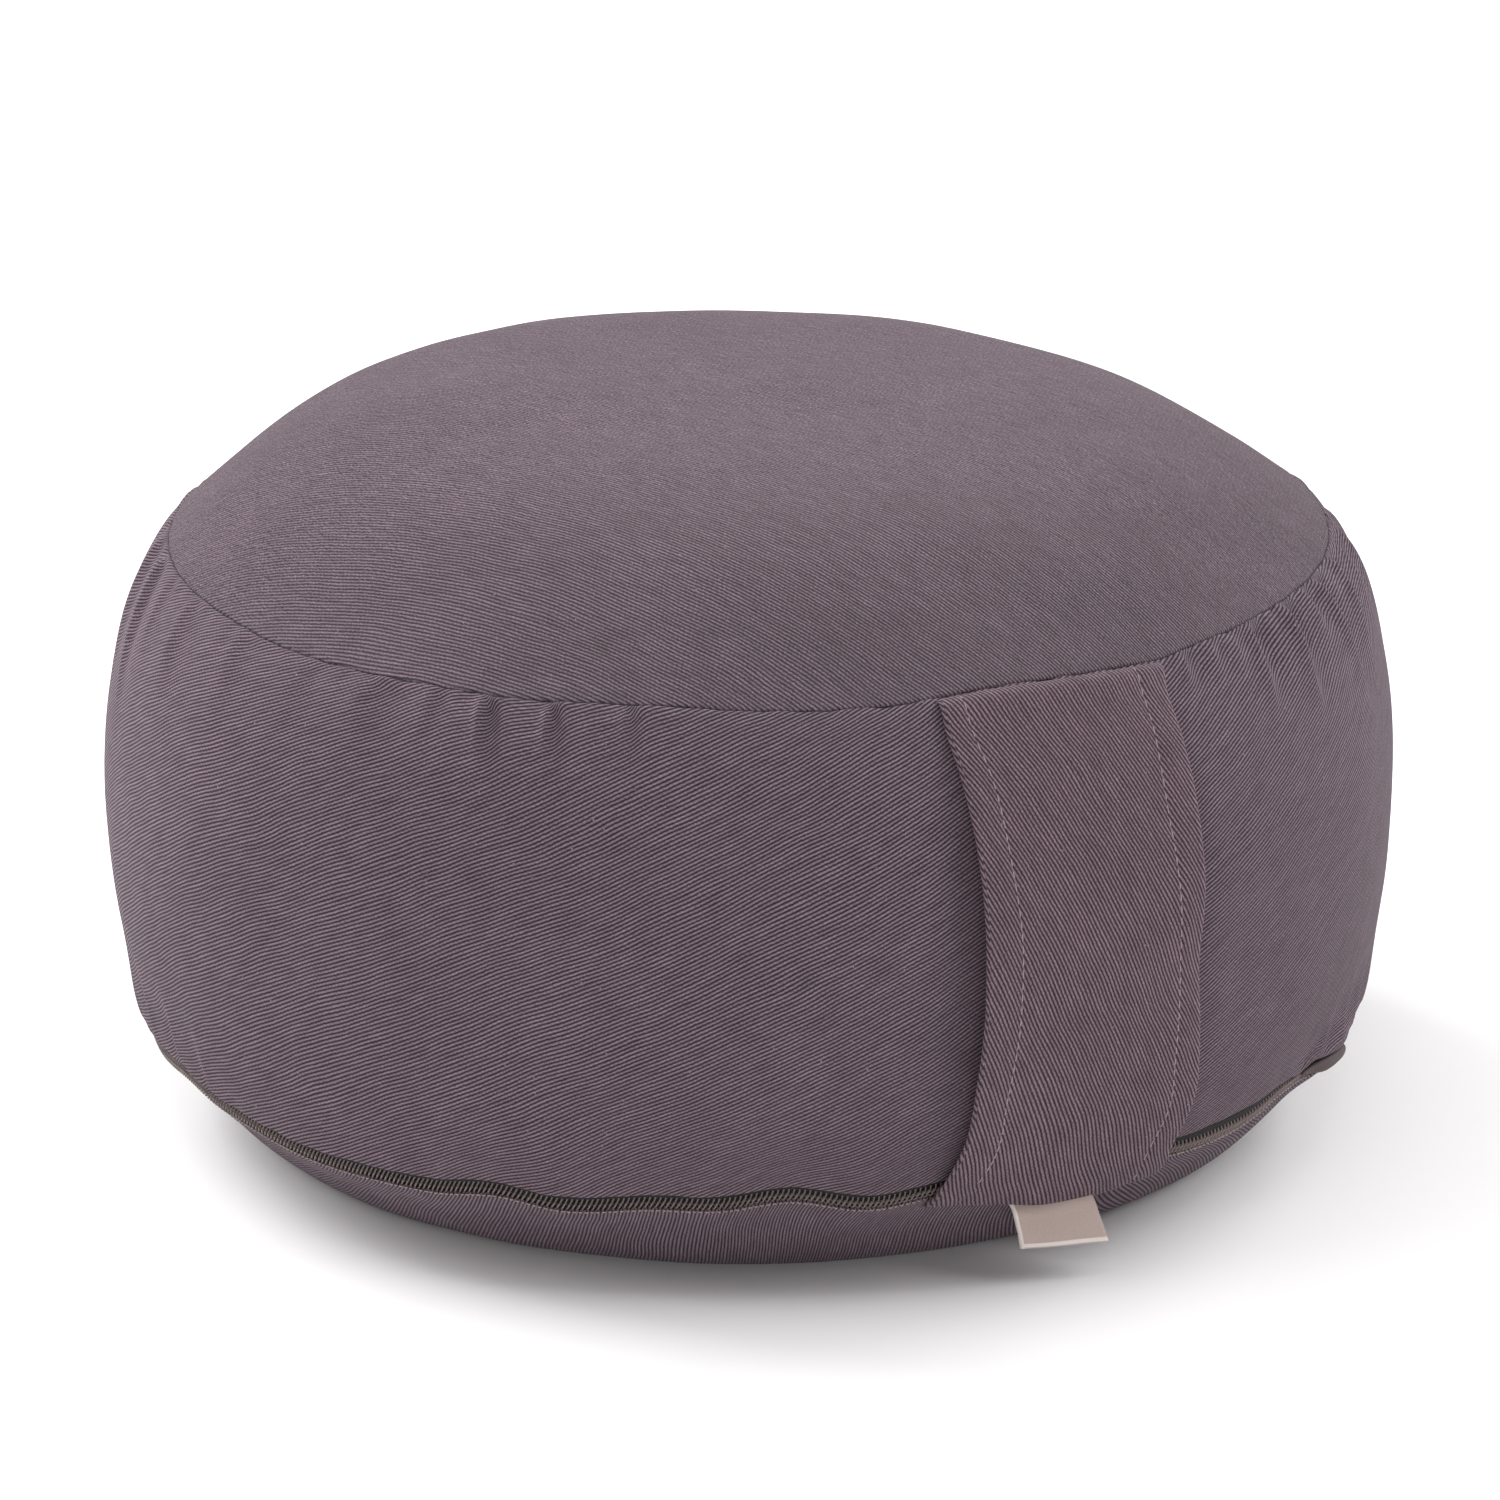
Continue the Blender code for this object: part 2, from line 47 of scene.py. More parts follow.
# the drum: its outside line, both seams and how it has settled
drum = {
    "crownHeight": 186.9,
    "topSeam": (147.5, 150.3),  # radius and height
    "lowSeam": (156.4, 27.0),
    "restRadius": 124.0,
    "crownFlat": 94.0,  # reach of the level handle at the middle of the crown
    "crownRim": (53.0, 40.0),  # reach and slope of the cloth where it meets a seam
    "bandTop": (23.9, 37.5),
    "bandLow": (44.0, 70.1),
    "underRim": (20.0, 45.6),
    "underRest": 12.5,
    "seatDepth": 2.0,  # the filled body lies this far under both round cloths
    "crownLean": 6.9,  # the filling has slumped to one side
    "crownLeanTo": -119.0,
    "seamWaveFade": 16.0,
    "freeOfSeam": (2.0, 34.0),  # between these distances from a seam the cloth comes free of it
    "freeOfFoot": 10.0,
}
topRadius, topHeight = drum["topSeam"]
lowRadius, lowHeight = drum["lowSeam"]
lowSeamWaves = [  # azimuth and height of the lower seam's wander
    (-150, 0.4), (-120, 0.0), (-103, -1.4), (-95, 0.2), (-89, -1.2), (-84, -1.7), (-73, -3.3),
    (-66, -3.0), (-59, -2.3), (-53, -0.3), (-47, -1.9), (-38, 0.4), (-32.5, 0.5), (-26, 2.9),
    (-19, -0.3), (-12, 1.6), (0, 0.3), (12, -0.8), (20, -0.5), (33, 1.3), (38, 0.0), (42, -0.8),
    (50, 0.4), (90, -0.8), (140, 0.9), (180, -0.5),
]
topSeamWaves = [  # and of the upper seam's
    (-160, 0.2), (-110, 0.0), (-90, 0.0), (-78, -1.0), (-70, -0.8), (-58, -0.3), (-53, -0.5),
    (-42, 0.5), (-36, 0.5), (-30, -0.2), (-14, -0.2), (-7.5, 1.2), (4, 0.7), (9, 0.1), (12.5, -0.6),
    (16, 0.1), (23, 0.4), (34, 0.7), (44, 0.3), (60, 0.0), (120, -0.3), (180, 0.3),
]
slit = {
    "from": -112.5, "to": 50.0, "close": 10.0, "up": 2.7, "down": 2.9, "fade": 12.0, "extraDepth": 1.2,
    "gapes": [(19.0, 8.5, 0.22), (-6.0, 5.2, 0.7)],  # azimuth, half width, how much wider it gapes
    "tuckAt": (31.4, 1.3), "tuck": 0.8,  # a tuck of the side cloth crosses the zip here
    "noseAt": (39.2, 4.0), "nose": 1.5, "noseFade": 7.0,  # both cloths stand out at the zip's end
}
strapWidth = 62.0


def smoothStep(x, low, high):
    t = np.clip((x - low) / (high - low), 0.0, 1.0)
    return t * t * (3.0 - 2.0 * t)


def bell(x, middle, wide, power=2):
    # 1 at its middle and falling away to both sides; a higher power gives it a flatter top
    return np.exp(-((x - middle) / wide) ** power)


def unit(v):
    return v / np.linalg.norm(v, axis=-1, keepdims=True)


def roundDrum(count):
    return np.linspace(-180, 180, count + 1)[:-1]


def throughRows(x, rowX, rowY):
    # Piecewise cubic through the rows, its slope at a row taken from the rows beside it
    rowX, rowY = np.asarray(rowX, float), np.asarray(rowY)
    slope = np.gradient(rowY, rowX, axis=0)
    k = np.clip(np.searchsorted(rowX, x) - 1, 0, len(rowX) - 2)
    width = rowX[k + 1] - rowX[k]
    t = np.clip((x - rowX[k]) / width, 0.0, 1.0)
    if rowY.ndim == 2:
        width, t = width[:, None], t[:, None]
    start = (2 * t ** 3 - 3 * t ** 2 + 1) * rowY[k] + (t ** 3 - 2 * t ** 2 + t) * width * slope[k]
    return start + (3 * t ** 2 - 2 * t ** 3) * rowY[k + 1] + (t ** 3 - t ** 2) * width * slope[k + 1]


def bezier(a, b, c, d, count):
    t = np.linspace(0.0, 1.0, count)[:, None]
    a, b, c, d = (np.array(p, float) for p in (a, b, c, d))
    return (1 - t) ** 3 * a + 3 * (1 - t) ** 2 * t * b + 3 * (1 - t) * t * t * c + t ** 3 * d


def handle(point, reach, slope):
    # The point at reach from here, outwards and down at slope degrees below level
    turn = math.radians(slope)
    return point[0] + reach * math.cos(turn), point[1] - reach * math.sin(turn)


def outsideLine():
    # Three Bezier curves in radius and height: crown, band and underside, with their running length
    top, low, flat = drum["topSeam"], drum["lowSeam"], drum["restRadius"]
    crown = bezier((0, drum["crownHeight"]), (drum["crownFlat"], drum["crownHeight"]),
                   handle(top, -drum["crownRim"][0], drum["crownRim"][1]), top, 2401)
    band = bezier(top, handle(top, *drum["bandTop"]),
                  handle(low, -drum["bandLow"][0], 180.0 - drum["bandLow"][1]), low, 2401)
    under = bezier(low, handle(low, drum["underRim"][0], 180.0 - drum["underRim"][1]),
                   (flat + drum["underRest"], 0), (flat, 0), 1201)
    line = np.concatenate([crown, band[1:], under[1:], [(0.0, 0.0)]])
    length = np.concatenate([[0.0], np.cumsum(np.hypot(*np.diff(line, axis=0).T))])
    length -= length[len(crown) - 1]
    return line, length, length[len(crown) + len(band) - 2], length[-2]


line, lineLength, lowSeam, restEdge = outsideLine()
crownTop, baseCentre = lineLength[0], lineLength[-1]


def linePoint(s):
    return np.stack([np.interp(s, lineLength, line[:, 0]), np.interp(s, lineLength, line[:, 1])], -1)


def spot(s, depth=0.0):
    # Radius and height of the place s, moved by depth along the line's normal
    s = np.asarray(s, float)
    tangent = unit(linePoint(s + 1.0) - linePoint(s - 1.0))
    normal = np.stack([-tangent[..., 1], tangent[..., 0]], -1)
    place = linePoint(s) + np.asarray(depth, float)[..., None] * normal
    return place[..., 0], place[..., 1]


seamOut = np.diff(spot([lowSeam, lowSeam], [0.0, 1.0]))[:, 0]  # radius and height of a step outwards
seamDown = np.array([seamOut[1], -seamOut[0]])  # and of a step down across the lower seam


def slitOpen(azimuth):
    # 1 along the zip, 0 beyond its ends, more where it gapes and nearly closed at the tuck
    beyond = np.maximum(slit["from"] - azimuth, azimuth - slit["to"])
    gape = sum(more * bell(azimuth, place, wide, 4) for place, wide, more in slit["gapes"])
    return (1.0 - smoothStep(beyond, 0.0, slit["close"])) * (1.0 + gape) * \
        (1.0 - slit["tuck"] * bell(azimuth, *slit["tuckAt"]))


def seamLift(azimuth, waves):
    places, lifts = (list(column) for column in zip(*waves))
    return throughRows(azimuth, [places[-1] - 360] + places, [lifts[-1]] + lifts)


def turned(azimuth, radius, height):
    turn = np.radians(azimuth)
    return np.stack(np.broadcast_arrays(radius * np.sin(turn), -radius * np.cos(turn), height), -1)


def settled(azimuth, radius, height, opensSlit=True, slitSpread=0.01):
    # Points of the turned drum, moved as the cushion has settled: the zip's slit opens across the
    # lower seam, both cloths stand out at the zip's end, both seams wander up and down, and the
    # crown tips as a plane that fades out at the top seam. slitSpread is how gently a cloth that
    # bridges the slit is drawn apart
    azimuth, radius, height = np.broadcast_arrays(azimuth, radius, height)
    azimuth = (azimuth + 180.0) % 360.0 - 180.0
    radius, height = radius.copy(), height.copy()
    below = (radius - lowRadius) * seamDown[0] + (height - lowHeight) * seamDown[1]
    if opensSlit:
        side = smoothStep(below, -slitSpread, slitSpread)
        amount = slitOpen(azimuth) * bell(below, 0.0, slit["fade"])
        amount *= (slit["up"] + slit["down"]) * side - slit["up"]
        radius += amount * seamDown[0]
        height += amount * seamDown[1]
    radius += slit["nose"] * bell(azimuth, *slit["noseAt"], 4) * bell(below, 0.0, slit["noseFade"])
    lift = seamLift(azimuth, lowSeamWaves) * smoothStep(height, 0.0, 10.0)
    lift *= bell(below, 0.0, drum["seamWaveFade"])
    fromTop = np.hypot(radius - topRadius, height - topHeight)
    lift += seamLift(azimuth, topSeamWaves) * bell(fromTop, 0.0, drum["seamWaveFade"])
    crown = np.clip(1.0 - (radius / topRadius) ** 2, 0.0, 1.0)
    crown *= smoothStep(height, lowHeight, topHeight)
    toward = radius * np.cos(np.radians(azimuth - drum["crownLeanTo"])) / topRadius
    return turned(azimuth, radius, height + lift + drum["crownLean"] * crown * toward)


def uneven(grid, shortest, longest, height, seed, count=36):
    # Slow unevenness: a sum of plane waves in space with random directions, lengths and phases
    dice = np.random.default_rng(seed)
    direction = unit(dice.normal(size=(count, 3)))
    wave = np.exp(dice.uniform(math.log(shortest), math.log(longest), count))
    phase = dice.uniform(0, 2 * math.pi, count)
    waves = np.cos(grid.reshape(-1, 3) @ (direction * (2 * math.pi / wave[:, None])).T + phase)
    return (height * (waves @ (wave / wave.mean())) / math.sqrt(count)).reshape(grid.shape[:-1])


# meshes from grids
def gridFaces(rows, columns, around):
    # Quads between neighbouring rows and columns; the last column meets the first if around
    index = np.arange(rows * columns).reshape(rows, columns)
    if around:
        index = np.concatenate([index, index[:, :1]], 1)
    return np.stack([index[:-1, :-1], index[1:, :-1], index[1:, 1:], index[:-1, 1:]], -1).reshape(-1, 4)


def surface(name, points, flat=(0.0, 0.0), around=False, poles=False, tint=None):
    # One mesh from a grid of points, rows first, with the cloth's own flat coordinates in mm as its
    # UV map. poles closes the first and last row with a fan to their middles
    rows, columns = points.shape[:2]
    verts = points.reshape(-1, 3)
    faces = gridFaces(rows, columns, around)
    flat = np.stack([np.broadcast_to(part, (rows, columns + around)) for part in flat], -1)
    corners = flat.reshape(-1, 2)[gridFaces(rows, columns + around, False).ravel()]
    loops, sizes = faces.ravel(), np.full(len(faces), 4)
    if poles:
        for row, step in ((0, 1), (rows - 1, -1)):
            ring, ringUv = np.arange(columns) + row * columns, flat[row]
            fan = np.stack([np.full(columns, len(verts)), ring, np.roll(ring, -1)], -1)
            poleUv = np.broadcast_to(ringUv[:-1].mean(0), (columns, 2))
            fanUv = np.stack([poleUv, ringUv[:-1], ringUv[1:]], 1)
            verts = np.concatenate([verts, verts[ring].mean(0, keepdims=True)])
            loops = np.concatenate([loops, fan[:, [0, step, -step]].ravel()])
            corners = np.concatenate([corners, fanUv[:, [0, step, -step]].reshape(-1, 2)])
            sizes = np.concatenate([sizes, np.full(columns, 3)])
    return meshObject(name, verts, loops, sizes, corners, tint)


def meshObject(name, verts, loops, sizes, corners=None, tint=None):
    # Points in mm and faces as one run of corners, put into a mesh and an object at the origin
    mesh = bpy.data.meshes.new(name)
    mesh.vertices.add(len(verts))
    mesh.vertices.foreach_set("co", (verts * mm).astype(np.float32).ravel())
    mesh.loops.add(len(loops))
    mesh.loops.foreach_set("vertex_index", loops.astype(np.int32))
    mesh.polygons.add(len(sizes))
    starts = np.concatenate([[0], np.cumsum(sizes)[:-1]])
    mesh.polygons.foreach_set("loop_start", starts.astype(np.int32))
    mesh.update(calc_edges=True)
    if corners is not None:
        mesh.uv_layers.new(name="flat").data.foreach_set("uv", corners.astype(np.float32).ravel())
    if tint is not None:
        values = np.zeros(len(verts), np.float32)
        values[:tint.size] = tint.ravel()
        mesh.attributes.new("tint", "FLOAT", "POINT").data.foreach_set("value", values)
    mesh.validate()
    mesh.shade_smooth()
    return linked(name, mesh)


def linked(name, data):
    thing = bpy.data.objects.new(name, data)
    scene.collection.objects.link(thing)
    return thing


# colours and nodes
def linearColour(hexText):
    # sRGB hex to linear light: a straight foot, then the 2.4 power
    value = np.array([int(hexText[k:k + 2], 16) for k in (1, 3, 5)]) / 255.0
    straight = value <= 0.04045
    return (*np.where(straight, value / 12.92, ((value + 0.055) / 1.055) ** 2.4), 1.0)


def setInputs(tree, node, inputs):
    # An input is a value, a colour in hex or the output that is linked into it
    for key, value in inputs.items():
        if isinstance(value, bpy.types.NodeSocket):
            tree.links.new(value, node.inputs[key])
        else:
            node.inputs[key].default_value = linearColour(value) if isinstance(value, str) else value


def addNode(tree, kind, inputs, **settings):
    # One node with its settings and inputs; gives back its outputs
    node = tree.nodes.new("ShaderNode" + kind)
    for key, value in settings.items():
        setattr(node, key, value)
    setInputs(tree, node, inputs)
    return node.outputs


def newMaterial(name):
    # The material, and addNode for its own nodes
    material = bpy.data.materials.new(name)
    material.use_nodes = True
    return material, partial(addNode, material.node_tree)


def shaded(material, inputs):
    setInputs(material.node_tree, material.node_tree.nodes["Principled BSDF"], inputs)
    return material


# Cotton twill, ring-spun and piece-dyed: steep raised ribs with dark furrows between, a matt face with
# a little fuzz that lightens at grazing angles, slightly uneven yarns and a few pale flecks.
twill = {
    "rib": "#81707a",
    "furrow": "#251c22",
    "fleck": "#a0949a",
    "sheen": "#d8ccd3",
    "pitch": 0.95,  # the real ribs are 0.82 mm apart, too fine for the render, so they are drawn 0.95
    "floatLength": 1.3,  # where the yarns of a rib dive under, along the rib
    "floatLean": 64.0,
    "bump": 0.15,
    "swayBy": (3.0, 3.0, 0.0),  # how far the ribs bend slowly to and fro
    "slubSize": (9.0, 0.9, 1.0),  # thick places of the yarns, along and across them
    "grain": 0.40,
    "grainDepth": 0.26,
    "wobble": 0.22,  # how far uneven yarns push the ribs about
    "trueAlong": (0.0, -1.0, 0.0),  # towards this side the wobble changes to trueWobble
    "trueWobble": 0.22,
    "trueFrom": 52.0,
    "trueTo": 112.0,
}
# on the top, too fine to show where it is seen flat, the ribs are blurred by wobble and drawn true
# towards the front.
# Its rib colour is darker and its furrow colour paler than the band's: the same cloth with painted
# shade, to even out how light falls on the top
topLookShaded = dict(twill, rib="#786972", furrow="#342a2f", grain=0.5, grainDepth=0.28, wobble=0.9,
               trueAlong=(-0.49, -0.87, 0.0), trueWobble=0.3)
strapLook = dict(twill, rib="#836f78", furrow="#261d21")


def cottonTwill(name, angle, look=twill):
    # Ribs are a sine across the cloth's flat coordinates turned by angle; a second sine at floatLean
    # to them breaks each rib into floats; noises bend, slub, grain and fleck them
    material, add = newMaterial(name)
    flat = add("UVMap", {}, uv_map="flat")["UV"]
    slubPlace = add("Mapping", {"Vector": flat, "Rotation": (0, 0, math.radians(-angle)),
                                "Scale": look["slubSize"]}, vector_type="TEXTURE")["Vector"]
    noise = {}
    for key, place, scale, detail, roughness in (
            ("sway", flat, 1 / 40, 2.0, 0.5), ("wobble", flat, 0.9, 1.0, 0.6),
            ("slub", slubPlace, 1.0, 1.0, 0.5), ("grain", flat, 1 / look["grain"], 1.0, 0.6),
            ("cloud", flat, 1 / 38, 4.0, 0.6), ("fleck", flat, 0.8, 1.0, 0.4)):
        noise[key] = add("TexNoise", {"Vector": place, "Scale": scale, "Detail": detail,
                                      "Roughness": roughness}, noise_dimensions="2D")
    bent = add("VectorMath", {0: noise["sway"]["Color"], 1: look["swayBy"], 2: flat},
               operation="MULTIPLY_ADD")["Vector"]
    towards = add("VectorMath", {0: flat, 1: look["trueAlong"]}, operation="DOT_PRODUCT")["Value"]
    wobble = add("MapRange", {"Value": towards, "From Min": look["trueFrom"],
                              "From Max": look["trueTo"], "To Min": look["wobble"],
                              "To Max": look["trueWobble"]}, interpolation_type="SMOOTHSTEP")["Result"]
    swayed = add("VectorMath", {0: noise["wobble"]["Color"], 1: wobble, 2: bent},
                 operation="MULTIPLY_ADD")["Vector"]
    lean = math.radians(look["floatLean"])
    waves = []
    for turn, pitch, extra in (
            (0.0, look["pitch"], {}),
            (lean, look["floatLength"] * math.sin(lean),
             {"Distortion": 0.6, "Detail": 1.0, "Detail Scale": 1.2})):
        place = add("Mapping", {"Vector": swayed, "Rotation": (0, 0, math.radians(angle) + turn)},
                    vector_type="POINT")["Vector"]
        waves.append(add("TexWave", {"Vector": place, "Scale": math.pi / 10 / pitch, **extra},
                         bands_direction="Y", wave_profile="SIN")["Fac"])
    floats = add("MapRange", {"Value": waves[1], "To Min": 0.80, "To Max": 1.0})["Result"]
    height = add("Math", {0: waves[0], 1: floats}, operation="MULTIPLY")["Value"]
    # the strap's tint: painted shade along its left fold and painted highlight along its right fold, 0
    # on other pieces
    paintedStrapEdgeLight = add("Attribute", {}, attribute_name="tint")["Fac"]
    shade = add("Math", {0: paintedStrapEdgeLight, 1: 1.0}, operation="ADD")["Value"]
    for key, low, high, change in (("slub", 0.25, 0.75, 0.16), ("cloud", 0.3, 0.7, 0.05),
                                   ("grain", 0.25, 0.75, look["grainDepth"])):
        part = add("MapRange", {"Value": noise[key]["Fac"], "From Min": low, "From Max": high,
                                "To Min": 1.0 - change, "To Max": 1.0 + change})["Result"]
        shade = add("Math", {0: shade, 1: part}, operation="MULTIPLY")["Value"]
    base = add("Mix", {"Factor": height, "A": look["furrow"], "B": look["rib"]},
               data_type="RGBA")["Result"]
    dyed = add("VectorMath", {0: base, "Scale": shade}, operation="SCALE")["Vector"]
    flecked = add("MapRange", {"Value": noise["fleck"]["Fac"], "From Min": 0.83, "From Max": 0.88,
                               "To Max": 0.6})["Result"]
    colour = add("Mix", {"Factor": flecked, "A": dyed, "B": look["fleck"]}, data_type="RGBA")["Result"]
    bump = add("Bump", {"Height": height, "Strength": 0.8, "Distance": look["bump"] * mm})["Normal"]
    return shaded(material, {"Base Color": colour, "Normal": bump, "Roughness": 0.95,
                             "Sheen Weight": 0.07, "Sheen Roughness": 0.5, "Sheen Tint": look["sheen"],
                             "Specular IOR Level": 0.2})


# the simulated filling
filling = {
    "startInset": 3.0,  # the start is this much smaller, for the pressure to fill
    "insetWander": 1.6,
    "insetWaves": (60, 150, 1.0, 11),  # shortest, longest, height, seed
    "voxel": 5.0,
    "pressure": 4.0,
    "pointMass": 0.02,
    "slack": 0.015,  # the cloth is this much larger than the start, so it ripples where it is sewn
    "frames": 20,
    "cap": 6.0,
    "sewnWithin": 4.0,
    "footBelow": 1.5,
    "ringsRead": 90,
    "columnsRead": 240,
    "most": 1.6,
    "share": 0.45,  # of what the simulation gives, since the real cover is nearly taut
    "wavesKept": 60,
    "finestWave": 26.0,
    "smoothings": 3,
}


def awayFromSeams(s):
    # 0 at both seams and on the resting face, 1 in between
    nearest = np.minimum(np.abs(s), np.abs(s - lowSeam))
    return smoothStep(nearest, *drum["freeOfSeam"]) * \
        (1.0 - smoothStep(s, restEdge - drum["freeOfFoot"], restEdge))


def startShape():
    # The turned drum, drawn in between its seams by an uneven inset, with its seams and foot in place
    s = np.concatenate([np.linspace(*part) for part in (
        (crownTop + 4, -0.1, 40), (0.1, lowSeam - 0.1, 34), (lowSeam + 0.1, restEdge, 12),
        (restEdge + 8, baseCentre - 4, 12))])[:, None]
    azimuth = roundDrum(180)
    wander = uneven(turned(azimuth, *spot(s)), *filling["insetWaves"])
    inset = awayFromSeams(s) * (filling["startInset"] + filling["insetWander"] * wander)
    return surface("fillingStart", turned(azimuth, *spot(s, -inset)), around=True, poles=True)


def evaluatedCopy(piece, name):
    # The piece with its modifiers applied, as a new mesh
    graph = bpy.context.evaluated_depsgraph_get()
    graph.update()
    mesh = bpy.data.meshes.new_from_object(piece.evaluated_get(graph))
    mesh.name = name
    return mesh


def meshPoints(mesh):
    flat = np.empty(len(mesh.vertices) * 3, np.float32)
    mesh.vertices.foreach_get("co", flat)
    return flat.reshape(-1, 3).astype(float) / mm


def simulatedFilling():
    # Voxel remesh, then cloth under pressure with gravity off, held at both seams and on the foot; a
    # point's movement is capped. Returns the swollen mesh as an object
    start = startShape()
    remesh = start.modifiers.new("Remesh", "REMESH")
    remesh.mode = "VOXEL"
    remesh.voxel_size = filling["voxel"] * mm
    mesh = evaluatedCopy(start, "fillingCloth")
    bpy.data.objects.remove(start)
    cushion = linked("fillingCloth", mesh)
    before = meshPoints(mesh)
    radius, height = np.hypot(before[:, 0], before[:, 1]), before[:, 2]
    near = np.minimum(np.hypot(radius - topRadius, height - topHeight),
                      np.hypot(radius - lowRadius, height - lowHeight))
    held = np.flatnonzero((near < filling["sewnWithin"]) | (height < filling["footBelow"]))
    cushion.vertex_groups.new(name="sewn").add(held.tolist(), 1.0, "REPLACE")
    cloth = cushion.modifiers.new("Cloth", "CLOTH")
    for key, value in (("quality", 6), ("mass", filling["pointMass"]),
                       ("shrink_min", -filling["slack"]), ("use_pressure", True),
                       ("uniform_pressure_force", filling["pressure"]),
                       ("vertex_group_mass", "sewn")):
        setattr(cloth.settings, key, value)
    cloth.settings.effector_weights.gravity = 0.0
    cloth.point_cache.frame_start, cloth.point_cache.frame_end = 1, filling["frames"]
    for step in range(1, filling["frames"] + 1):
        scene.frame_set(step)
    swollen = evaluatedCopy(cushion, "fillingSwollen")
    move = meshPoints(swollen) - before
    bpy.data.objects.remove(cushion)
    scene.frame_set(1)
    far = np.linalg.norm(move, axis=1, keepdims=True)
    after = before + move * np.minimum(1.0, filling["cap"] / np.maximum(far, 1e-9))
    swollen.vertices.foreach_set("co", (after * mm).astype(np.float32).ravel())
    swollen.update()
    result = linked("fillingSwollen", swollen)
    smoother = result.modifiers.new("Rounded", "SUBSURF")
    smoother.levels = smoother.render_levels = 1
    print("filling: %d points, moved %.1f mm on average" % (len(after), far.mean()))
    return result


def readSwelling():
    # How far the swollen filling stands off the outside line: a grid on the line is projected onto
    # it, and each ring is kept as a Fourier series round the drum, without its mean, so the outline
    # stays
    s = np.linspace(crownTop + 3, baseCentre - 3, filling["ringsRead"])
    azimuth = roundDrum(filling["columnsRead"])
    target = simulatedFilling()
    on, off = (turned(azimuth, *spot(s[:, None], depth)) for depth in (0.0, 1.0))
    reader = surface("fillingReader", on, around=True)
    wrap = reader.modifiers.new("Wrap", "SHRINKWRAP")
    wrap.target = target
    wrap.wrap_method = "NEAREST_SURFACEPOINT"
    found = meshPoints(evaluatedCopy(reader, "fillingRead")).reshape(on.shape)
    bpy.data.objects.remove(reader)
    bpy.data.objects.remove(target)
    stand = ((found - on) * (off - on)).sum(-1)
    stand = stand - stand.mean(1, keepdims=True)
    stand = filling["most"] * np.tanh(stand / filling["most"])
    series = np.fft.rfft(stand, axis=1)[:, :filling["wavesKept"]] / len(azimuth)
    series *= bell(np.arange(series.shape[1]), 0.0, filling["finestWave"])
    for _ in range(filling["smoothings"]):
        series[1:-1] = 0.25 * series[:-2] + 0.5 * series[1:-1] + 0.25 * series[2:]
    series[:, 0] = 0.0
    series *= filling["share"]
    print("swelling off the line: %.2f mm on average" % (filling["share"] * np.abs(stand).mean()))
    return s, series


swellPlaces, swellSeries = readSwelling()


def swell(azimuth, s):
    # The series summed at each azimuth, its terms running smoothly along the line, less near the seams
    terms = throughRows(s[:, 0], swellPlaces, swellSeries)
    turn = np.exp(1j * np.radians(azimuth + 180.0) * np.arange(terms.shape[1])[:, None])
    return 2.0 * (terms @ turn).real * awayFromSeams(s)


# the side band, which is also the filled body
gathers = {  # azimuth of the crease, width of its trough, to the left if negative, depth, reach, lean
    "top": [
        (-40.6, 1.7, 1.9, 20, 0.5), (-48, 1.7, 2.5, 23, 1), (-54.6, 1.9, 3, 26, 1.6),
        (-60, 2.6, 0.9, 18, 0.5), (-67.4, 5.5, 1.6, 28, 1.5), (-76, 5, 0.6, 26, 1),
        (-85.5, 4.5, 0.7, 34, 1), (-97, 4.5, 1, 40, 2), (-104.5, 3, 0.9, 30, 2),
        (-110.8, 2.4, 1.8, 48, 3.5), (-117.5, 3.2, 1.5, 48, 2), (15.6, 2.2, 1.6, 14, -1),
        (19.8, 2.4, 1, 14, -1), (23.2, 3.6, 1.4, 16, -1), (26.2, 2.6, 2.6, 28, -1.5),
        (32.8, 3.2, 3.4, 34, -0.5), (38.2, 2.2, 1.9, 16, 0.5), (41.9, 3, 4, 42, 2.5),
        (49.4, 2.6, 3, 38, 0), (55, 2.6, 2.1, 34, 0.5), (60, 3, 3, 40, 1.5),
    ],
    "low": [
        (30.4, 2, 1.3, 14, 2.5), (34.5, 2.4, 1.4, 22, 2), (39, 2.6, 1.7, 26, 2.5),
        (44, 2.6, 1.7, 26, 2), (49.5, 3, 1.6, 28, 2), (-87.8, -3, 1, 26, -1),
        (-94, -3, 1.3, 28, -1.5), (-101, -3, 1.4, 28, -2), (-108, -3, 1.6, 30, -2),
    ],
}
for k in range(19):  # on round the unseen side, varied by slow sines
    place, width = 67.0 + k * 8.9 + 1.6 * math.sin(2.3 * k), -3.2 if k % 3 == 1 else 3.2
    depth, reach = 1.5 * (0.75 + 0.35 * math.sin(1.7 * k + 0.4)), 36.0 + 9.0 * math.sin(2.9 * k)
    gathers["top"].append((place, width, depth, reach, 1.5 * math.sin(1.1 * k)))
    gathers["low"].append((place + 3.0, -width, 0.7 * depth, 0.7 * reach, 0.0))
band = {
    "columns": 1080,
    "finerAt": [(-125.0, -36.0), (12.0, 66.0)],  # azimuths where its columns stand closer together
    "finer": 0.8,
    "rings": 58,
    "ringShift": 5.4,  # draws them towards both seams
    "edgeRoll": (0.9, 0.55),  # how far from the seam the cloth starts to turn in, and how deep it goes
    "crease": 0.06,
    "swells": [(4, 0.5, 0.6), (7, 0.4, 2.1), (11, 0.3, 4.0)],  # waves round the belly, height, phase
    "unevenness": (22, 70, 0.22, 5),
    "strapDent": 1.5,
    "dentEdge": (0.40, 0.68),  # across, in strap widths
    "puckerPitch": 9.0,
    "pucker": 0.28,
    "puckerWaves": 14,
    "crestShare": 0.6,
    "drawnTogether": 1.5,
}


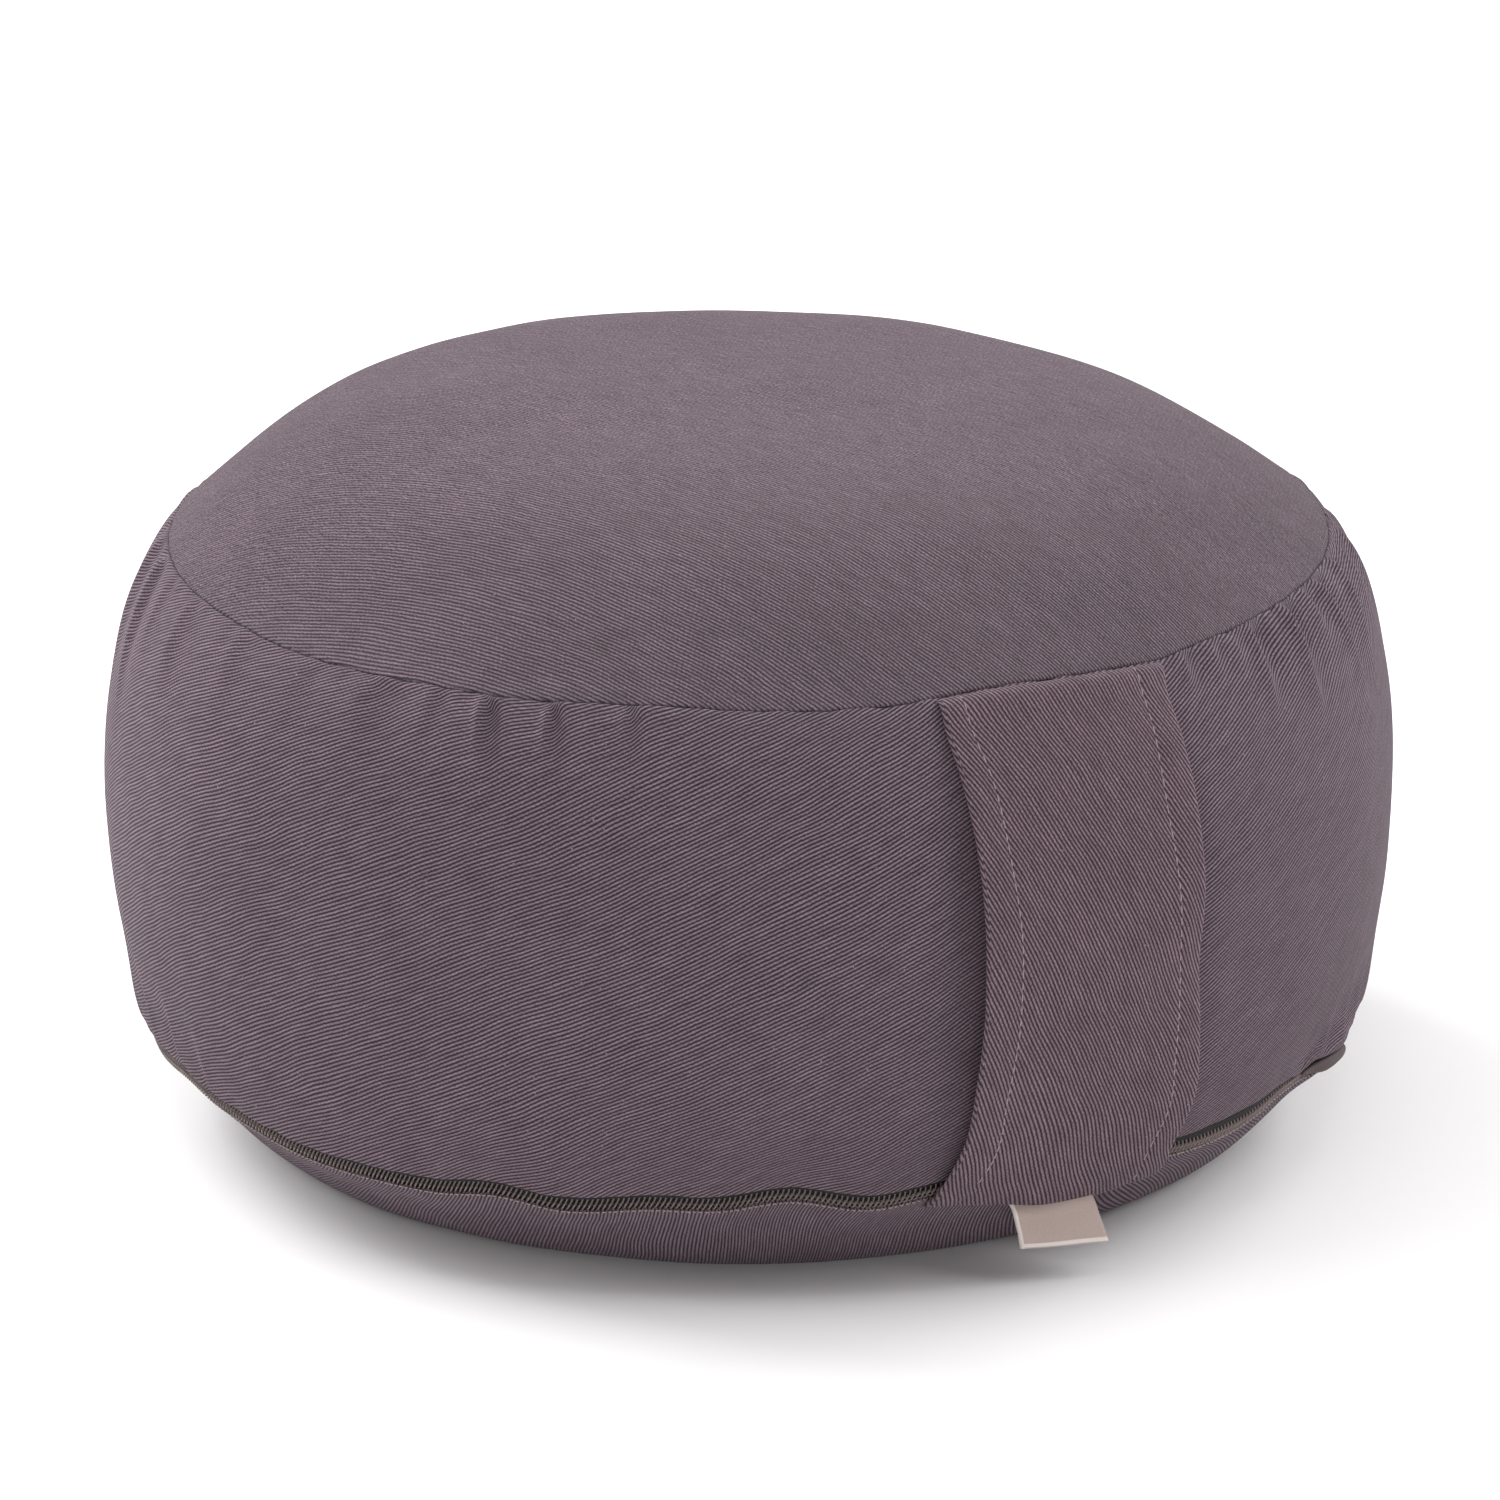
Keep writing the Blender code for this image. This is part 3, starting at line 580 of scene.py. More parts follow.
def bandColumns():
    # Azimuths all round, closer where the visible gathers are: the inverse of a summed density
    fine = np.linspace(-180, 180, 7201)
    density = 1.0 + sum(band["finer"] * smoothStep(np.minimum(fine - a, b - fine), -4.0, 4.0)
                        for a, b in band["finerAt"])
    summed = np.concatenate([[0.0], np.cumsum(0.5 * (density[1:] + density[:-1]))])
    return np.interp(np.linspace(0, summed[-1], band["columns"] + 1), summed, fine)


def gatherPlaces(azimuth, s):
    # For each gather: its depth, distance from the seam, run along it and distance across it in mm,
    # counted towards its trough, which widens as it runs out
    for seam, fromSeam in (("top", s), ("low", lowSeam - s)):
        for place, width, deep, reach, lean in gathers[seam]:
            run = np.clip(fromSeam / reach, 0.0, 1.0)
            side = (azimuth - place - lean * run + 180.0) % 360.0 - 180.0
            yield deep, fromSeam, run, np.radians(side) * topRadius, width * (0.75 + 0.6 * run)


def gatherDepth(azimuth, s):
    # Each gather is a crease with a skewed trough beside it, x exp(1 - x), steep at the crease and
    # easy on its far side; it starts at the seam and dies away at its reach
    depth = 0.0
    for deep, fromSeam, run, side, width in gatherPlaces(azimuth, s):
        across = side / width
        into = 0.5 * (across + np.sqrt(across ** 2 + 0.09))
        shape = into * np.exp(1.0 - into) - band["crestShare"] * bell(across, 0.0, 1.2)
        fades = smoothStep(fromSeam, 0.3, 4.0) * (1.0 - smoothStep(run, 0.2, 1.0))
        depth = depth + deep * shape * fades
    return depth


def gatherSpread(azimuth, s):
    # Cloth drawn together into each gather: the flat coordinate runs ahead by a smooth step across it
    ahead = 0.0
    for deep, _, run, side, width in gatherPlaces(azimuth, s):
        across = side / np.abs(width) - np.sign(width)
        fades = (1.0 - smoothStep(run, 0.0, 1.0)) * bell(across, 0.0, 5.0)
        ahead = ahead + deep * np.tanh(across) * fades
    return band["drawnTogether"] * ahead


def puckers(azimuth, fromSeam, seed):
    # Small uneven ripples of the stitched edge: waves round the drum that fade within a centimetre
    dice = np.random.default_rng(seed)
    girth = 2 * math.pi * topRadius
    total = 0.0
    for _ in range(band["puckerWaves"]):
        count = round(girth / (band["puckerPitch"] * dice.uniform(0.6, 2.4)))
        reach = dice.uniform(3.0, 10.0)
        ripple = np.cos(count * np.radians(azimuth) + dice.uniform(0, 6.28))
        total = total + ripple * np.exp(-fromSeam / reach)
    return band["pucker"] * total / math.sqrt(band["puckerWaves"])


def edgeRoll(fromSeam, reach, deep):
    # Quarter ellipse: level at reach from the seam, upright at the seam
    t = np.clip(1.0 - fromSeam / reach, 0.0, 1.0)
    return -deep * (1.0 - np.sqrt(1.0 - t ** 2))


def bandDepth(azimuth, s):
    # Everything that moves the band's face off the outside line
    s = np.clip(s, 0.0, lowSeam)
    middle = np.sin(np.pi * s / lowSeam) ** 2
    turn = np.radians(azimuth)
    inFront = np.abs((azimuth + 180) % 360 - 180) < 90
    aside = np.where(inFront, np.abs(spot(s)[0] * np.sin(turn)), 1e3) / strapWidth
    behind = 1.0 - smoothStep(aside, *band["dentEdge"])
    belly = sum(height * np.cos(count * turn + phase) for count, height, phase in band["swells"])
    depth = (1.0 - behind) * belly * middle - band["strapDent"] * behind * np.sqrt(middle)
    depth = depth - gatherDepth(azimuth, s) + swell(azimuth, s) + puckers(azimuth, s, 3)
    return depth + puckers(azimuth, lowSeam - s, 4) * (1 - 0.6 * slitOpen(azimuth))


def sideBand():
    # Filled body: under the top cloth, out through the top seam, down the band, into the low seam and
    # under the bottom cloth, all as one closed surface turned about Z
    reach, deep = band["edgeRoll"]
    topEdge = band["crease"] + crowded(reach, 8)
    face = np.linspace(reach + 0.6, lowSeam - reach - 0.6, band["rings"])
    face = face - band["ringShift"] * np.sin(2 * np.pi * (face - face[0]) / (face[-1] - face[0]))
    crown = [*np.linspace(crownTop + 12, -2.5, 7), 0.0]
    under = [lowSeam, lowSeam, *np.linspace(lowSeam + 1.5, restEdge, 6), baseCentre - 60,
             baseCentre - 12]
    s = np.concatenate([crown, topEdge, face, lowSeam - topEdge[::-1], under])[:, None]
    hidden = len(s) - len(under)
    allRound = bandColumns()[None]
    azimuth = allRound[:, :-1]
    fromEdge = np.minimum(s, lowSeam - s)
    depth = bandDepth(azimuth, s) + edgeRoll(fromEdge, reach, deep)
    depth[:len(crown)] = depth[hidden:] = -drum["seatDepth"]
    depth[hidden:hidden + 2] -= slit["extraDepth"] * slitOpen(azimuth)
    radius, height = spot(s, depth)
    points = settled(azimuth, radius, height)
    lift = uneven(points, *band["unevenness"]) * smoothStep(fromEdge, 2, 14)
    points[..., :2] *= (1.0 + lift / radius)[..., None]
    u = np.radians(allRound) * line[:, 0].max() + gatherSpread(allRound, np.clip(s, 0.0, lowSeam))
    return surface("sideBand", points, (u, -s), around=True, poles=True)


def crowded(reach, count):
    # Distances from the crease, crowded where the edge turns upright
    return reach * (1.0 - np.cos(np.linspace(0.0, math.pi / 2, count)))


# the two round cloths
roundCloth = {
    "columns": 720, "thick": 1.5, "edgeRoll": (0.8, 0.5), "crease": 0.06, "pucker": 0.4,
    "unevenness": (24, 90, 0.2, 8),
}
askew = {"from": (-38.0, -14.0), "to": (2.0, 16.0), "most": 0.6, "reach": 18.0}
edgeRows = roundCloth["crease"] + crowded(roundCloth["edgeRoll"][0], 7)


def roundPanel(name, faceRows, backRows, centre, seamPlace, seed):
    # Closed sheet: the face from the middle to its rolled edge, then the back to the middle
    allRound = np.linspace(-180, 180, roundCloth["columns"] + 1)[None]
    azimuth = allRound[:, :-1]
    s = np.concatenate([faceRows, backRows])[:, None]
    fromSeam = np.abs(s - seamPlace) - roundCloth["crease"]
    depth = swell(azimuth, s) + edgeRoll(fromSeam, *roundCloth["edgeRoll"])
    depth = depth + roundCloth["pucker"] * puckers(azimuth, fromSeam, seed)
    away = smoothStep(fromSeam, 3, 20) * (1.0 - smoothStep(s, restEdge - 6.0, restEdge))
    depth = depth + away * uneven(turned(azimuth, *spot(s)), *roundCloth["unevenness"])
    depth[len(faceRows):] -= roundCloth["thick"]
    depth[len(faceRows)] = -roundCloth["edgeRoll"][1] - 0.4
    points = settled(azimuth, *spot(s, depth))
    reach, turn = np.abs(s - centre), np.radians(allRound)
    u, v = reach * np.sin(turn), -reach * np.cos(turn)
    if centre > 0:  # the lower cloth's weave is pulled askew beside the strap, most at the seam
        share = smoothStep(allRound, *askew["from"]) * (1.0 - smoothStep(allRound, *askew["to"]))
        aside = askew["most"] * share * askew["reach"] * np.tanh((s - lowSeam) / askew["reach"])
        u, v = u + aside * np.cos(turn), v + aside * np.sin(turn)
    return surface(name, points, (u, v), around=True, poles=True)


def topPanel():
    face = np.concatenate([np.linspace(crownTop + 1.5, -4.0, 60), -edgeRows[::-1]])
    back = np.concatenate([[-edgeRows[0]], np.linspace(-2.5, crownTop + 1.5, 10)])
    return roundPanel("topPanel", face, back, crownTop, 0.0, 6)


def bottomPanel():
    # Built as the top is, which turns it inside out, so its faces are flipped
    face = np.concatenate([np.linspace(baseCentre - 2, restEdge, 14)[:-1],
                           np.linspace(restEdge, lowSeam + 3.6, 36), lowSeam + edgeRows[::-1]])
    back = np.concatenate([[lowSeam + edgeRows[0]], np.linspace(lowSeam + 2.5, baseCentre - 2, 12)])
    panel = roundPanel("bottomPanel", face, back, baseCentre, lowSeam, 7)
    panel.data.flip_normals()
    return panel


# the strap, folded double and topstitched
strap = {
    "length": 140.0,
    "cut": 147.0,  # mm of cloth along its middle, slow waves and hidden top end included
    "thick": 1.6,
    "rows": 210,
    "faceColumns": 90,
    "topstitchIn": 9.5,
    "stitch": 3.1,
    "stitchGap": 0.8,
    "thread": 0.16,  # its radius
    "groove": 0.3,
    "puff": 0.22,
    "pressed": 0.42,  # how much thinner it is along its folded edges
    "paintedShadeLeftEdge": -0.15,  # how much painted shade darkens its left folded edge, as a negative lightness, and painted highlight lightens its right one
    "paintedHighlightRightEdge": 0.30,
    "slack": (-16.0, 8.0),  # across the strap, its lower end goes from sewn flat to slack
    "slackEdge": (12.0, 31.0, 0.45),  # and is less slack again towards its right edge
    "hemFrom": 0.88,
    "waves": [(0.35, 11.0, 19.0, 0.0), (0.25, 6.3, -8.0, 1.0)],  # height, mm along, mm across, phase
}
strapShape = [  # place, lift of the outer face at mid-width, how far it bends round the drum
    (0.3, -0.9, 1.0), (1.0, 0.6, 1.0), (2.4, 1.75, 1.0), (9.0, 2.2, 1.0), (20.0, 2.95, 0.85),
    (32.0, 3.9, 0.5), (46.0, 4.8, 0.3), (60.0, 5.5, 0.2), (74.0, 5.5, 0.2), (88.0, 5.0, 0.2),
    (101.0, 4.4, 0.3), (113.0, 3.6, 0.5), (122.0, 3.1, 0.8),
]
strapEndSewn = [(128.0, 2.3, 1.0), (130.4, 1.8, 1.0), (132.3, 1.3, 1.0), (133.0, 0.9, 1.0)]
strapEndSlack = [(128.4, 3.9, 1.0), (132.6, 4.0, 1.0), (135.2, 2.9, 1.0), (134.6, 1.3, 1.0)]
strapLean = [  # place, how far the strap's left and right edges have drifted sideways
    (0, 0.3, 1.2), (9, -1.0, -0.9), (20, -0.4, -0.3), (32, 0.0, 0.0), (62, 0.0, 0.0), (74, -0.6, -0.6),
    (89, -1.4, -0.1), (98, -1.5, 0.4), (110, -1.9, 1.2), (119, -3.4, -0.3), (126, -4.4, -2.2),
    (131.5, -7.0, -2.0), (136, -7.0, -1.5),
]
# its hem: place across the strap and how much longer it is there
strapHem = [(-31, -1.6), (-22, -0.4), (-12, 0.3), (0, 0.2), (10, 0.0), (31, 0.0)]
strapCurl = {"place": (72.0, 24.0), "most": 2.2, "from": 12.0}  # its right edge leans back to the band
stitchWander = {  # place, how far each row of topstitching strays from its distance to the edge
    -1: [(0, -4.1), (11, -3.2), (23, -1.9), (34, -1.4), (45, -0.9), (56, -0.2), (70, 0.3), (82, 0.3),
         (102, -0.9), (120, 0.0), (131, -0.6), (140, -0.6)],
    1: [(0, 0.4), (12, 1.8), (22, 1.0), (36, 0.5), (47, 1.0), (60, 2.0), (74, 2.8), (97, 2.2),
        (116, 2.0), (126, 1.0), (140, 0.0)],
}


def strapRows(rows, t):
    # Place, lift and cling of the strap's middle line, as smooth curves of a run t from 0 to 1
    table = np.array(strapShape + rows)
    steps = np.hypot(np.diff(table[:, 0]), np.diff(table[:, 1]))
    run = np.concatenate([[0.0], np.cumsum(steps)])
    return [throughRows(t * run[-1], run, table[:, k]) for k in range(3)]


def strapPoint(x, t, extra):
    # The strap's outer face, moved out by extra: the middle line's place on the drum, bent round it
    # by its cling across the width; its lower end is sewn flat at the left and hangs slack at the
    # right
    low, high, less = strap["slackEdge"]
    loose = smoothStep(x, *strap["slack"]) * (1.0 - less * smoothStep(x, low, high))
    s, lift, cling = (a + (b - a) * loose
                      for a, b in zip(strapRows(strapEndSewn, t), strapRows(strapEndSlack, t)))
    s = s + throughRows(x, *zip(*strapHem)) * smoothStep(t, strap["hemFrom"], 1.0)
    beyond = np.clip((x - strapCurl["from"]) / (strapWidth / 2 - strapCurl["from"]), 0.0, 1.0)
    curl = strapCurl["most"] * beyond ** 2 * bell(s, *strapCurl["place"])
    wave = sum(height * np.cos(strap["length"] * t / along + x / across + phase)
               for height, along, across, phase in strap["waves"])
    radius, height = spot(s, lift + extra - curl + wave * np.sin(np.pi * np.clip(t, 0, 1)) ** 2)
    ahead = radius - cling * (radius - np.sqrt(radius ** 2 - x ** 2))
    place, leftLean, rightLean = zip(*strapLean)
    across = np.clip(x / strapWidth + 0.5, 0.0, 1.0)
    leftLean, rightLean = throughRows(s, place, leftLean), throughRows(s, place, rightLean)
    aside = x + leftLean * (1 - across) + rightLean * across
    azimuth = np.degrees(np.arctan2(aside, ahead))
    return settled(azimuth, np.hypot(aside, ahead), height, slitSpread=7.0)


def stitchLine(side, t):
    # How far across the strap a row of topstitching runs: -1 is the left row, 1 the right one
    s = strapRows(strapEndSewn, t)[0]
    return side * (strapWidth / 2 - strap["topstitchIn"]) + throughRows(s, *zip(*stitchWander[side]))


def carryStrap():
    # A flat closed tube: a face, two round folds and a back, carried down the strap's run
    half, thick = strapWidth / 2, strap["thick"]
    fold = np.linspace(-math.pi / 2, math.pi / 2, 9)[1:-1]
    flatHalf = half - thick / 2
    faceX = np.linspace(-1, 1, strap["faceColumns"]) * flatHalf
    backX = np.linspace(1, -1, 40) * flatHalf
    x = np.concatenate([faceX, flatHalf + thick / 2 * np.cos(fold), backX,
                        -flatHalf - thick / 2 * np.cos(fold)])
    inward = np.concatenate([0 * faceX, thick / 2 * (1 + np.sin(fold)), thick + 0 * backX,
                             thick / 2 * (1 - np.sin(fold))])
    girth = np.hypot(np.diff(x, append=x[0]), np.diff(inward, append=0.0))
    section = np.concatenate([[0.0], np.cumsum(girth)])
    t = np.linspace(0, 1, strap["rows"])[:, None]
    x, inward = x[None], inward[None]
    fromStitch = np.minimum(np.abs(x - stitchLine(-1, t)), np.abs(x - stitchLine(1, t)))
    onStitch = np.cos(2 * np.pi * strap["length"] * t / strap["stitch"])
    groove = -strap["groove"] * bell(fromStitch, 0.0, 0.9) * (0.75 - 0.25 * onStitch)
    fromEdge = half - np.abs(x)
    puff = bell(fromEdge, 4.8, 2.6) + 0.6 * (1.0 - smoothStep(np.abs(x), 9.0, 18.0))
    pressed = 1.0 - strap["pressed"] * bell(fromEdge, 0.0, 2.2)
    extra = -inward * pressed + (1.0 - inward / thick) * (groove + strap["puff"] * puff)
    points = strapPoint(x, t, extra)
    # painted shade along the left folded edge and painted highlight along the right one, carried as the
    # tint attribute
    paintedEdgeLight = np.where(x < 0, strap["paintedShadeLeftEdge"], strap["paintedHighlightRightEdge"])
    tint = paintedEdgeLight * bell(fromEdge, 0.0, 0.8) + 0.0 * t
    steps = np.linalg.norm(np.diff(points, axis=0), axis=-1)
    length = np.cumsum(np.concatenate([0 * steps[:1], steps]), axis=0)
    length = np.concatenate([length, length[:, :1]], 1)
    print("strap length %.1f mm" % length[-1, strap["faceColumns"] // 2])
    return surface("carryStrap", points, (section - half, -length), around=True, poles=True, tint=tint)


# sewing thread as rows of short capsules
def rings(path, first, second, girth, sides):
    # Tubes round their paths: each point moved by its girth along two directions, by a cosine and sine
    turn = np.linspace(0, 2 * math.pi, sides + 1)[:-1]
    return (path[:, :, None] + first[:, :, None] * (girth[:, None] * np.cos(turn))[..., None]
            + second[:, :, None] * (girth[:, None] * np.sin(turn))[..., None])


def manyTubes(name, points):
    # Joins tubes given as tube, ring, side, point, each closed by its two end faces
    tubes, count, sides = points.shape[:3]
    caps = np.stack([np.arange(sides)[::-1], np.arange(sides) + (count - 1) * sides])
    first = np.arange(tubes)[:, None, None] * count * sides
    faces = (gridFaces(count, sides, True) + first).reshape(-1, 4)
    caps = (caps + first).reshape(-1, sides)
    loops = np.concatenate([faces.ravel(), caps.ravel()])
    sizes = np.concatenate([np.full(len(faces), 4), np.full(len(caps), sides)])
    return meshObject(name, points.reshape(-1, 3), loops, sizes)


def threadRow(name, rows, length, radius, sides=6, count=5):
    # Each stitch is a ring of sides carried along its length, its ends drawn in and dipped into the
    # cloth. rows gives the stitches' middles, directions and outward normals
    mid, along, out = (np.concatenate(part)[:, None] for part in zip(*rows))
    k = np.linspace(-1, 1, count)[:, None]
    girth = radius * np.sqrt(np.clip(1.05 - k[:, 0] ** 4, 0.05, 1.0))
    path = mid + along * (0.5 * length * k) - out * (1.2 * radius * k ** 4)
    return manyTubes(name, rings(path, out, np.cross(out, along), girth, sides))


def frameOf(mid, ahead, above):
    return mid, unit(ahead - mid), unit(above - mid)


def strapStitches():
    # Both rows of topstitching, each stitch laid along the strap's face
    count = int((strap["length"] - 4.0) / strap["stitch"])
    t = (np.arange(count) + 0.5) * strap["stitch"] / strap["length"] + 0.010
    rows = [frameOf(*(strapPoint(stitchLine(side, t + further), t + further, height)
                      for further, height in ((0.0, -0.06), (0.004, -0.06), (0.0, 0.9))))
            for side in (-1, 1)]
    return threadRow("strapStitches", rows, strap["stitch"] - strap["stitchGap"], strap["thread"])


# the zip
zipper = {
    "tapeHalf": 3.0, "tapeFloor": -2.9, "tapeThick": 0.8,
    "tapeRise": 1.5, "riseTo": -0.7,  # the tape stands up beside the chain, under the side cloth
    "tilt": 0.25,  # the chain leans out towards its lower side by this much for each step down
    "chainDown": 1.0,  # the chain lies this far below the middle of the slit
    "toothPitch": 1.3, "toothRadius": 0.23, "toothReach": 1.4, "toothPast": 0.35,
    "coilFloor": -2.0, "coilHeight": 1.5,
    "slant": 0.6, "threadOut": 0.85, "threadRadius": 0.10, "threadLong": 0.8,
    # azimuth, half width, how far the chain stands out and lies lower; it lies deeper under the strap
    "standsOut": [(-104.0, 14.0, 0.5, 0.0), (-0.5, 9.5, -0.9, 0.0), (19.5, 7.0, 0.8, 0.4)],
}
zipFold = {"from": 32.4, "to": 42.6, "across": 2.1, "out": 1.5, "depth": 0.1, "down": 0.1}
edgeDashes = {"pitch": 1.5, "length": 1.05, "down": 3.15, "depth": -0.1, "radius": 0.19}


def seamPoint(azimuth, down, depth, tilt=0.0):
    # A place in the zip: azimuth along it, distance down across the seam and depth off the seam
    depth = depth + tilt * down
    for place, halfWidth, outwards, downwards in zipper["standsOut"]:
        there = bell(azimuth, place, halfWidth, 4)
        depth, down = depth + outwards * there, down + downwards * there
    radius = lowRadius + down * seamDown[0] + depth * seamOut[0]
    height = lowHeight + down * seamDown[1] + depth * seamOut[1]
    return settled(azimuth, radius, height, opensSlit=False)


def alongZip(pitch):
    # Azimuths a pitch apart from end to end of the zip, and the pitch in degrees
    step = math.degrees(pitch / lowRadius)
    return slit["from"] + 0.5 + np.arange(int((slit["to"] - slit["from"] - 1.0) / step)) * step, step


def zipTape():
    # Four-sided section with softened corners carried along the zip's arc, closed at both ends
    azimuth = np.linspace(slit["from"], slit["to"], 480)[:, None]
    across = np.linspace(-1, 1, 24) * zipper["tapeHalf"]
    down = np.concatenate([across, across[::-1]])[None]
    depth = zipper["tapeFloor"] + np.repeat([zipper["tapeThick"], 0.0], 24)[None]
    risen = 1.0 - smoothStep(down, zipper["riseTo"] - 0.5, zipper["riseTo"] + 0.3)
    points = seamPoint(azimuth, down, depth + zipper["tapeRise"] * risen, zipper["tilt"])
    flat = (np.radians(azimuth) * lowRadius, np.concatenate([down, down[:, :1]], 1))
    return surface("zipTape", points, flat, around=True, poles=True)


def zipTeeth():
    # Each side of the coil is a row of slanted loops: a loop rises from the tape, crosses to just
    # past the middle and turns down between two loops of the other side
    first, step = alongZip(zipper["toothPitch"])
    k = np.linspace(0, 1, 9)
    depth = zipper["coilFloor"] + zipper["coilHeight"] * np.sin(np.pi * (0.06 + 0.80 * k)) ** 0.7
    girth = zipper["toothRadius"] * (1.0 + 0.3 * bell(k, 0.82, 0.12))
    tubes = []
    for side, shift in ((-1, 0.0), (1, 0.5)):
        down = side * (zipper["toothReach"] - (zipper["toothReach"] + zipper["toothPast"]) * k)
        down = down + zipper["chainDown"]
        drift = 2.0 * math.degrees(zipper["slant"] / lowRadius) * (k - 0.5) * side
        azimuth = (first + shift * step)[:, None] + drift
        path, beside = (seamPoint(azimuth + turn, down, depth, zipper["tilt"]) for turn in (0.0, 0.2))
        lengthways = unit(beside - path)
        outward = unit(np.cross(unit(np.gradient(path, axis=1)), lengthways))
        tubes.append(rings(path, lengthways, outward, girth, 6)[:, :, ::-side])
    return manyTubes("zipTeeth", np.concatenate(tubes))


def dashesAlong(azimuth, down, depth, slope=0.0, tilt=0.0):
    # Middle, direction and outward normal of short stitches along the zip
    return frameOf(*(seamPoint(azimuth + turn, down + lower, depth + out, tilt)
                     for turn, lower, out in ((0.0, 0.0, 0.0), (0.3, slope, 0.0), (0.0, 0.0, 1.0))))


def zipThreads():
    # Two rows of stitches hold the coil down, one over the shoulder of each side's loops
    azimuth, step = alongZip(zipper["toothPitch"])
    depth = zipper["coilFloor"] + zipper["coilHeight"] + 0.16
    rows = [dashesAlong(azimuth + 0.25 * step, zipper["chainDown"] + side * zipper["threadOut"], depth,
                        0.28, zipper["tilt"]) for side in (-1.0, 1.0)]
    return threadRow("zipThreads", rows, zipper["threadLong"], zipper["threadRadius"])


def zipEdgeStitches():
    # One row of stitches where the lower cloth's edge is sewn to the tape
    rows = [dashesAlong(alongZip(edgeDashes["pitch"])[0], edgeDashes["down"], edgeDashes["depth"])]
    return threadRow("zipEdgeStitches", rows, edgeDashes["length"], edgeDashes["radius"])


def zipEndFold():
    # The tape's end folded over the coil: an oval tube along the seam, thin where it leaves the tuck
    # and blunt at its nose, its girth the fourth root of one minus the eighth power of the run
    k = np.linspace(0, 1, 60)[:, None]
    azimuth = zipFold["from"] + (zipFold["to"] - zipFold["from"]) * k
    girth = (0.35 + 0.65 * smoothStep(k, 0.0, 0.45)) * np.clip(1.0 - k ** 8, 0.0, 1.0) ** 0.25
    girth *= smoothStep(k, -0.02, 0.05)
    turn = np.linspace(0, 2 * math.pi, 25)
    down = zipFold["down"] + zipFold["across"] * girth * np.cos(turn[:-1])
    depth = zipFold["depth"] + zipFold["out"] * girth * np.sin(turn[:-1])
    flat = (np.radians(azimuth) * lowRadius, turn * zipFold["across"])
    return surface("zipEndFold", seamPoint(azimuth, down, depth), flat, around=True, poles=True)


# the dark thread of the top seam, showing between the two cloths
seamThread = {"pitch": 1.9, "length": 1.25, "radius": 0.26, "depth": -0.30}


def topSeamThread():
    # Short stitches end to end round the seam, nearly flush with the cloth
    azimuth = roundDrum(round(2 * math.pi * topRadius / seamThread["pitch"]))
    rows = [frameOf(*(settled(azimuth + turn, *spot(0.0, seamThread["depth"] + out))
                      for turn, out in ((0.0, 0.0), (0.3, 0.0), (0.0, 1.0))))]
    return threadRow("topSeamThread", rows, seamThread["length"], seamThread["radius"], 5, 4)


# the bare ribbon label, folded once
label = {
    "root": 131.6, "width": 21.6, "azimuth": -1.2, "thick": 0.34, "gap": 0.25, "long": 14.4,
    "slant": 1.7,
    "twist": 0.25,  # its free end has turned, one side this much further out for each step across
    "ripple": (0.25, 5.0),  # height, and mm across for one radian
    "selvedge": (0.7, 1.0),  # how far in from the edge it ends
}
labelShape = [(0.0, -0.9), (1.6, 0.6), (3.8, 2.4), (6.8, 3.1), (10.0, 3.9), (14.4, 4.6)]  # down, out


def labelTab():
    # A sheet that runs down its front, round a small fold and up its back
    down = np.linspace(0, label["long"], 26)
    lean = throughRows(down, *zip(*labelShape))
    turn = np.linspace(0, math.pi, 9)[1:-1]
    radius = (label["gap"] + label["thick"]) / 2
    pathDown = np.concatenate([down, label["long"] + radius * np.sin(turn), down[::-1]])
    pathOut = np.concatenate([lean, lean[-1] - radius * (1 - np.cos(turn)), lean[::-1] - 2 * radius])
    length = np.concatenate([[0], np.cumsum(np.hypot(np.diff(pathDown), np.diff(pathOut)))])
    x = np.linspace(-0.5, 0.5, 24)[None] * label["width"]
    pathDown, pathOut, length = pathDown[:, None], pathOut[:, None], length[:, None]
    rootRadius, rootHeight = spot(label["root"])
    free = pathDown / label["long"]
    ripple = label["ripple"][0] * np.cos(x / label["ripple"][1])
    out = rootRadius + pathOut + (ripple + label["twist"] * x) * free
    across = x + label["slant"] * free
    azimuth = label["azimuth"] + np.degrees(np.arctan2(across, out))
    points = settled(azimuth, np.hypot(across, out), rootHeight - pathDown)
    tab = surface("labelTab", points, (x, length))
    ribbon = tab.modifiers.new("Ribbon", "SOLIDIFY")
    ribbon.thickness = label["thick"] * mm
    ribbon.offset = 0.0
    return tab


